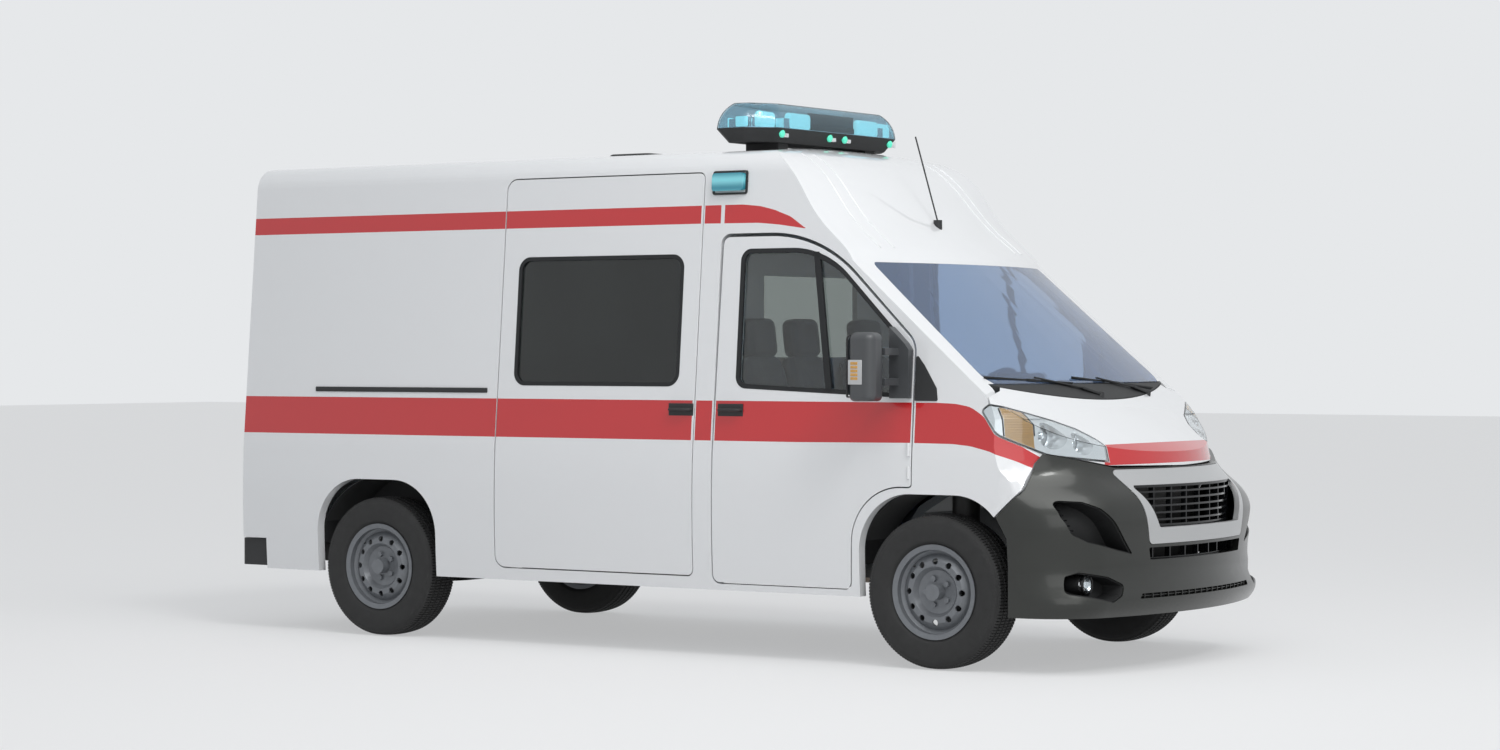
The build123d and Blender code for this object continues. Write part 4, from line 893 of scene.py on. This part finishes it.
# Dashboard: hooded instruments, centre screen, gear lever, air vents and the steering column's cover
COLUMN_X = 445
VENTS_X = (-820, -120, 240, 830)
VENT_Z = 1250
hood = moved(block((330, 130, 64), 24), COLUMN_X, 330, 1378)
screen_box = moved(block((230, 26, 150), 8), 60, 408, 1292, turn=Matrix.Rotation(radians(-14), 4, "X"))
lever = joined([rod([(150, 420, 1090), (150, 450, 1150)], 8), moved(block((40, 40, 52), 16), 150, 462, 1170)])
piece("dash_fittings", joined([hood, screen_box, lever]), black_pp, "body")
vents = []
for x in VENTS_X:
    vents.append(ring([(-58, -28), (58, -28), (58, 28), (-58, 28)], [10, 10, 10, 10], 6, (0, -8, 0),
                      lambda u, v, x=x: Vector((x + u, 430 + 0.1 * v, VENT_Z + v))))
    vents += [moved(block((104, 6, 3), 1), x, 424, VENT_Z + lift) for lift in (-16, -8, 0, 8, 16)]
piece("dash_vents", joined(vents), gloss_black, "body")
column = rod([(COLUMN_X, 400, 1190), (COLUMN_X, 455, 1230)], 30)
piece("column_cover", column, black_pp, "body")

# Rear pillars beside the doors: each one's middle part, and the rounded upper corner of the opening
PILLAR_FILL = [(797, 1364), (895, 1364), (838, 1960), (797, 1960)]
PILLAR_DEPTH = (0, -55, 0)
OPENING_EDGE = (797, 2337)
CORNER_R = 67
for side, sign in SIDES.items():
    spot = on_rear(sign, 0.4)
    pillar = slab(plate(PILLAR_FILL, [1, 50, 30, 1], spot), PILLAR_DEPTH)
    edge_x, edge_z = OPENING_EDGE
    arc = [(edge_x - CORNER_R + CORNER_R * cos(pi * step / 24), edge_z - CORNER_R + CORNER_R * sin(pi * step / 24))
           for step in range(13)]
    corner = bmesh.new()
    corner.faces.new([corner.verts.new(spot(u, v)) for u, v in arc + [OPENING_EDGE]])
    piece(f"rear_pillar_fill_{side}", joined([pillar, slab(corner, PILLAR_DEPTH)]), roof_paint, "body")

# Rear: blank plate with its frame and hood, door pull, high brake lamp, step tread, lamp bands and seals
PLATE_X = 330
plate_board = moved(block((520, 5, 112), 2), PLATE_X, REAR_FACE + 5, 820)
piece("rear_plate_blank", plate_board, plate_white, "rear_door_left")
plate_frame = ring([(64, 758), (596, 758), (596, 882), (64, 882)], [6, 6, 6, 6], 9, (0, -8, 0), on_rear(1, 9))
piece("rear_plate_frame", plate_frame, black_pp, "rear_door_left")
plate_hood = moved(block((560, 34, 26), 8), PLATE_X, REAR_FACE + 14, 896)
piece("rear_plate_hood", plate_hood, black_pp, "rear_door_left")
pull = joined([moved(block((150, 10, 70), 4), -120, REAR_FACE + 3, 1090),
               moved(block((118, 22, 22), 8), -120, REAR_FACE + 16, 1100)])
piece("rear_door_pull", pull, black_pp, "rear_door_right")
piece("high_brake_lamp", moved(block((300, 16, 30), 6), 0, REAR_FACE + 4, 2400), red_lens, "body")
treads = [moved(block((1500, 5, 6), 2), 0, 4402 + 12 * step, 497) for step in range(4)]
piece("rear_step_tread", joined(treads), seal_rubber, "body")
TAIL_LAMP_X = 895
REAR_WINDOW = [(104, 1324), (104, 2006), (696, 2006), (696, 1324)]
for side, sign in SIDES.items():
    amber_band = moved(block((106, 6, 110), 2.5), sign * TAIL_LAMP_X, REAR_FACE + 9, 1270)
    piece(f"tail_indicator_{side}", amber_band, amber_lens, "body")
    clear_band = moved(block((106, 6, 80), 2.5), sign * TAIL_LAMP_X, REAR_FACE + 9, 1170)
    piece(f"tail_reversing_{side}", clear_band, lamp_white, "body")
    seal = ring(REAR_WINDOW, [76, 76, 76, 76], 20, (0, -9, 0), on_rear(sign, 2))
    piece(f"rear_glass_seal_{side}", seal, seal_rubber, f"rear_door_{side}")

# Sliding door: its guide rail behind it, in a black cover
RAIL_Z = 1318
rail = moved(block((10, 1180, 26), 4), -(side_x(RAIL_Z) + 2), 3300, RAIL_Z)
piece("sliding_rail", rail, black_pp, "body")

# Under the bonnet: the engine's cover with three raised bars
bay = [moved(block((420, 300, 40), 14), 80, -340, 1036)]
bay += [moved(block((300, 24, 16), 6), 80, y, 1058) for y in (-430, -340, -250)]
piece("engine_cover", joined(bay), black_pp, "body")


# Studio

def seen_directly(tree):
    """1 for what the camera sees straight, in reflections and through glass."""
    rays = add_node(tree, "ShaderNodeLightPath").outputs
    straight = math(tree, "MAXIMUM", rays["Is Camera Ray"], rays["Is Glossy Ray"])
    return math(tree, "MAXIMUM", straight, rays["Is Transmission Ray"])


# Floor: pale matt grey, half of it replaced by plain white light where it is seen, so that shadows stay
FLOOR_WHITE = 0.5
studio_floor, tree, shader = new_finish("studio_floor", Base_Color=linear("#e8e8e8"), Roughness=0.9)
paper = add_node(tree, "ShaderNodeEmission", {}, {"Color": linear("#f0f1f2"), "Strength": 1.0})
blend = add_node(tree, "ShaderNodeMixShader", {}, {
    0: math(tree, "MULTIPLY", seen_directly(tree), FLOOR_WHITE), 1: shader.outputs[0], 2: paper.outputs[0]})
tree.links.new(blend.outputs[0], tree.nodes["Material Output"].inputs["Surface"])
ground = bmesh.new()
bmesh.ops.create_grid(ground, x_segments=1, y_segments=1, size=60)
floor_mesh = bpy.data.meshes.new("floor_sheet")
ground.to_mesh(floor_mesh)
ground.free()
floor_mesh.materials.append(studio_floor)
floor_sheet = bpy.data.objects.new("floor_sheet", floor_mesh)
scene.collection.objects.link(floor_sheet)

# World: even pale light, and a paler background for what the camera and reflections see
world = bpy.data.worlds.new("studio")
scene.world = world
world.use_nodes = True
sky = world.node_tree
background = sky.nodes["Background"]
background.inputs["Color"].default_value = linear("#e9edf2")
background.inputs["Strength"].default_value = 0.52
paper = add_node(sky, "ShaderNodeBackground", {}, {"Color": linear("#e6e8ea"), "Strength": 1.0})
choice = add_node(sky, "ShaderNodeMixShader", {}, {
    0: seen_directly(sky), 1: background.outputs[0], 2: paper.outputs[0]})
sky.links.new(choice.outputs[0], sky.nodes["World Output"].inputs["Surface"])


def lamp(name, kind, energy, location, target, size):
    """A soft lamp aimed at a point: size is an area's width in metres, or the sun's width in degrees."""
    light = bpy.data.lights.new(name, kind)
    light.energy = energy
    if kind == "AREA":
        light.shape = "RECTANGLE"
        light.size = size
        light.size_y = size * 0.6
    else:
        light.angle = radians(size)
    holder = bpy.data.objects.new(name, light)
    holder.location = location
    holder.rotation_euler = (Vector(target) - Vector(location)).to_track_quat("-Z", "Y").to_euler()
    scene.collection.objects.link(holder)


lamp("overhead_soft", "AREA", 270, (-3, -4, 7), (0, 0, 1), 8)
lamp("front_soft", "AREA", 115, (-8, -9, 4), (0, -1, 1), 8)
lamp("high_sun", "SUN", 0.55, (-4, -8, 10), (0, 0, 0), 12)

# Camera where the photograph's camera stood, turned left to take in the whole vehicle
CAMERA_SPOT = (-14641, -8087, 1519)
AZIMUTH = -62.67
ELEVATION = 0.4
EXTRA_YAW = 6.5
camera = bpy.data.objects.new("camera", bpy.data.cameras.new("camera"))
camera.data.sensor_width = 36
camera.data.lens = 79.7
camera.location = place(*CAMERA_SPOT)
camera.rotation_euler = (radians(90 - ELEVATION), 0, radians(AZIMUTH + EXTRA_YAW))
scene.collection.objects.link(camera)
scene.camera = camera
scene.view_settings.view_transform = "Standard"
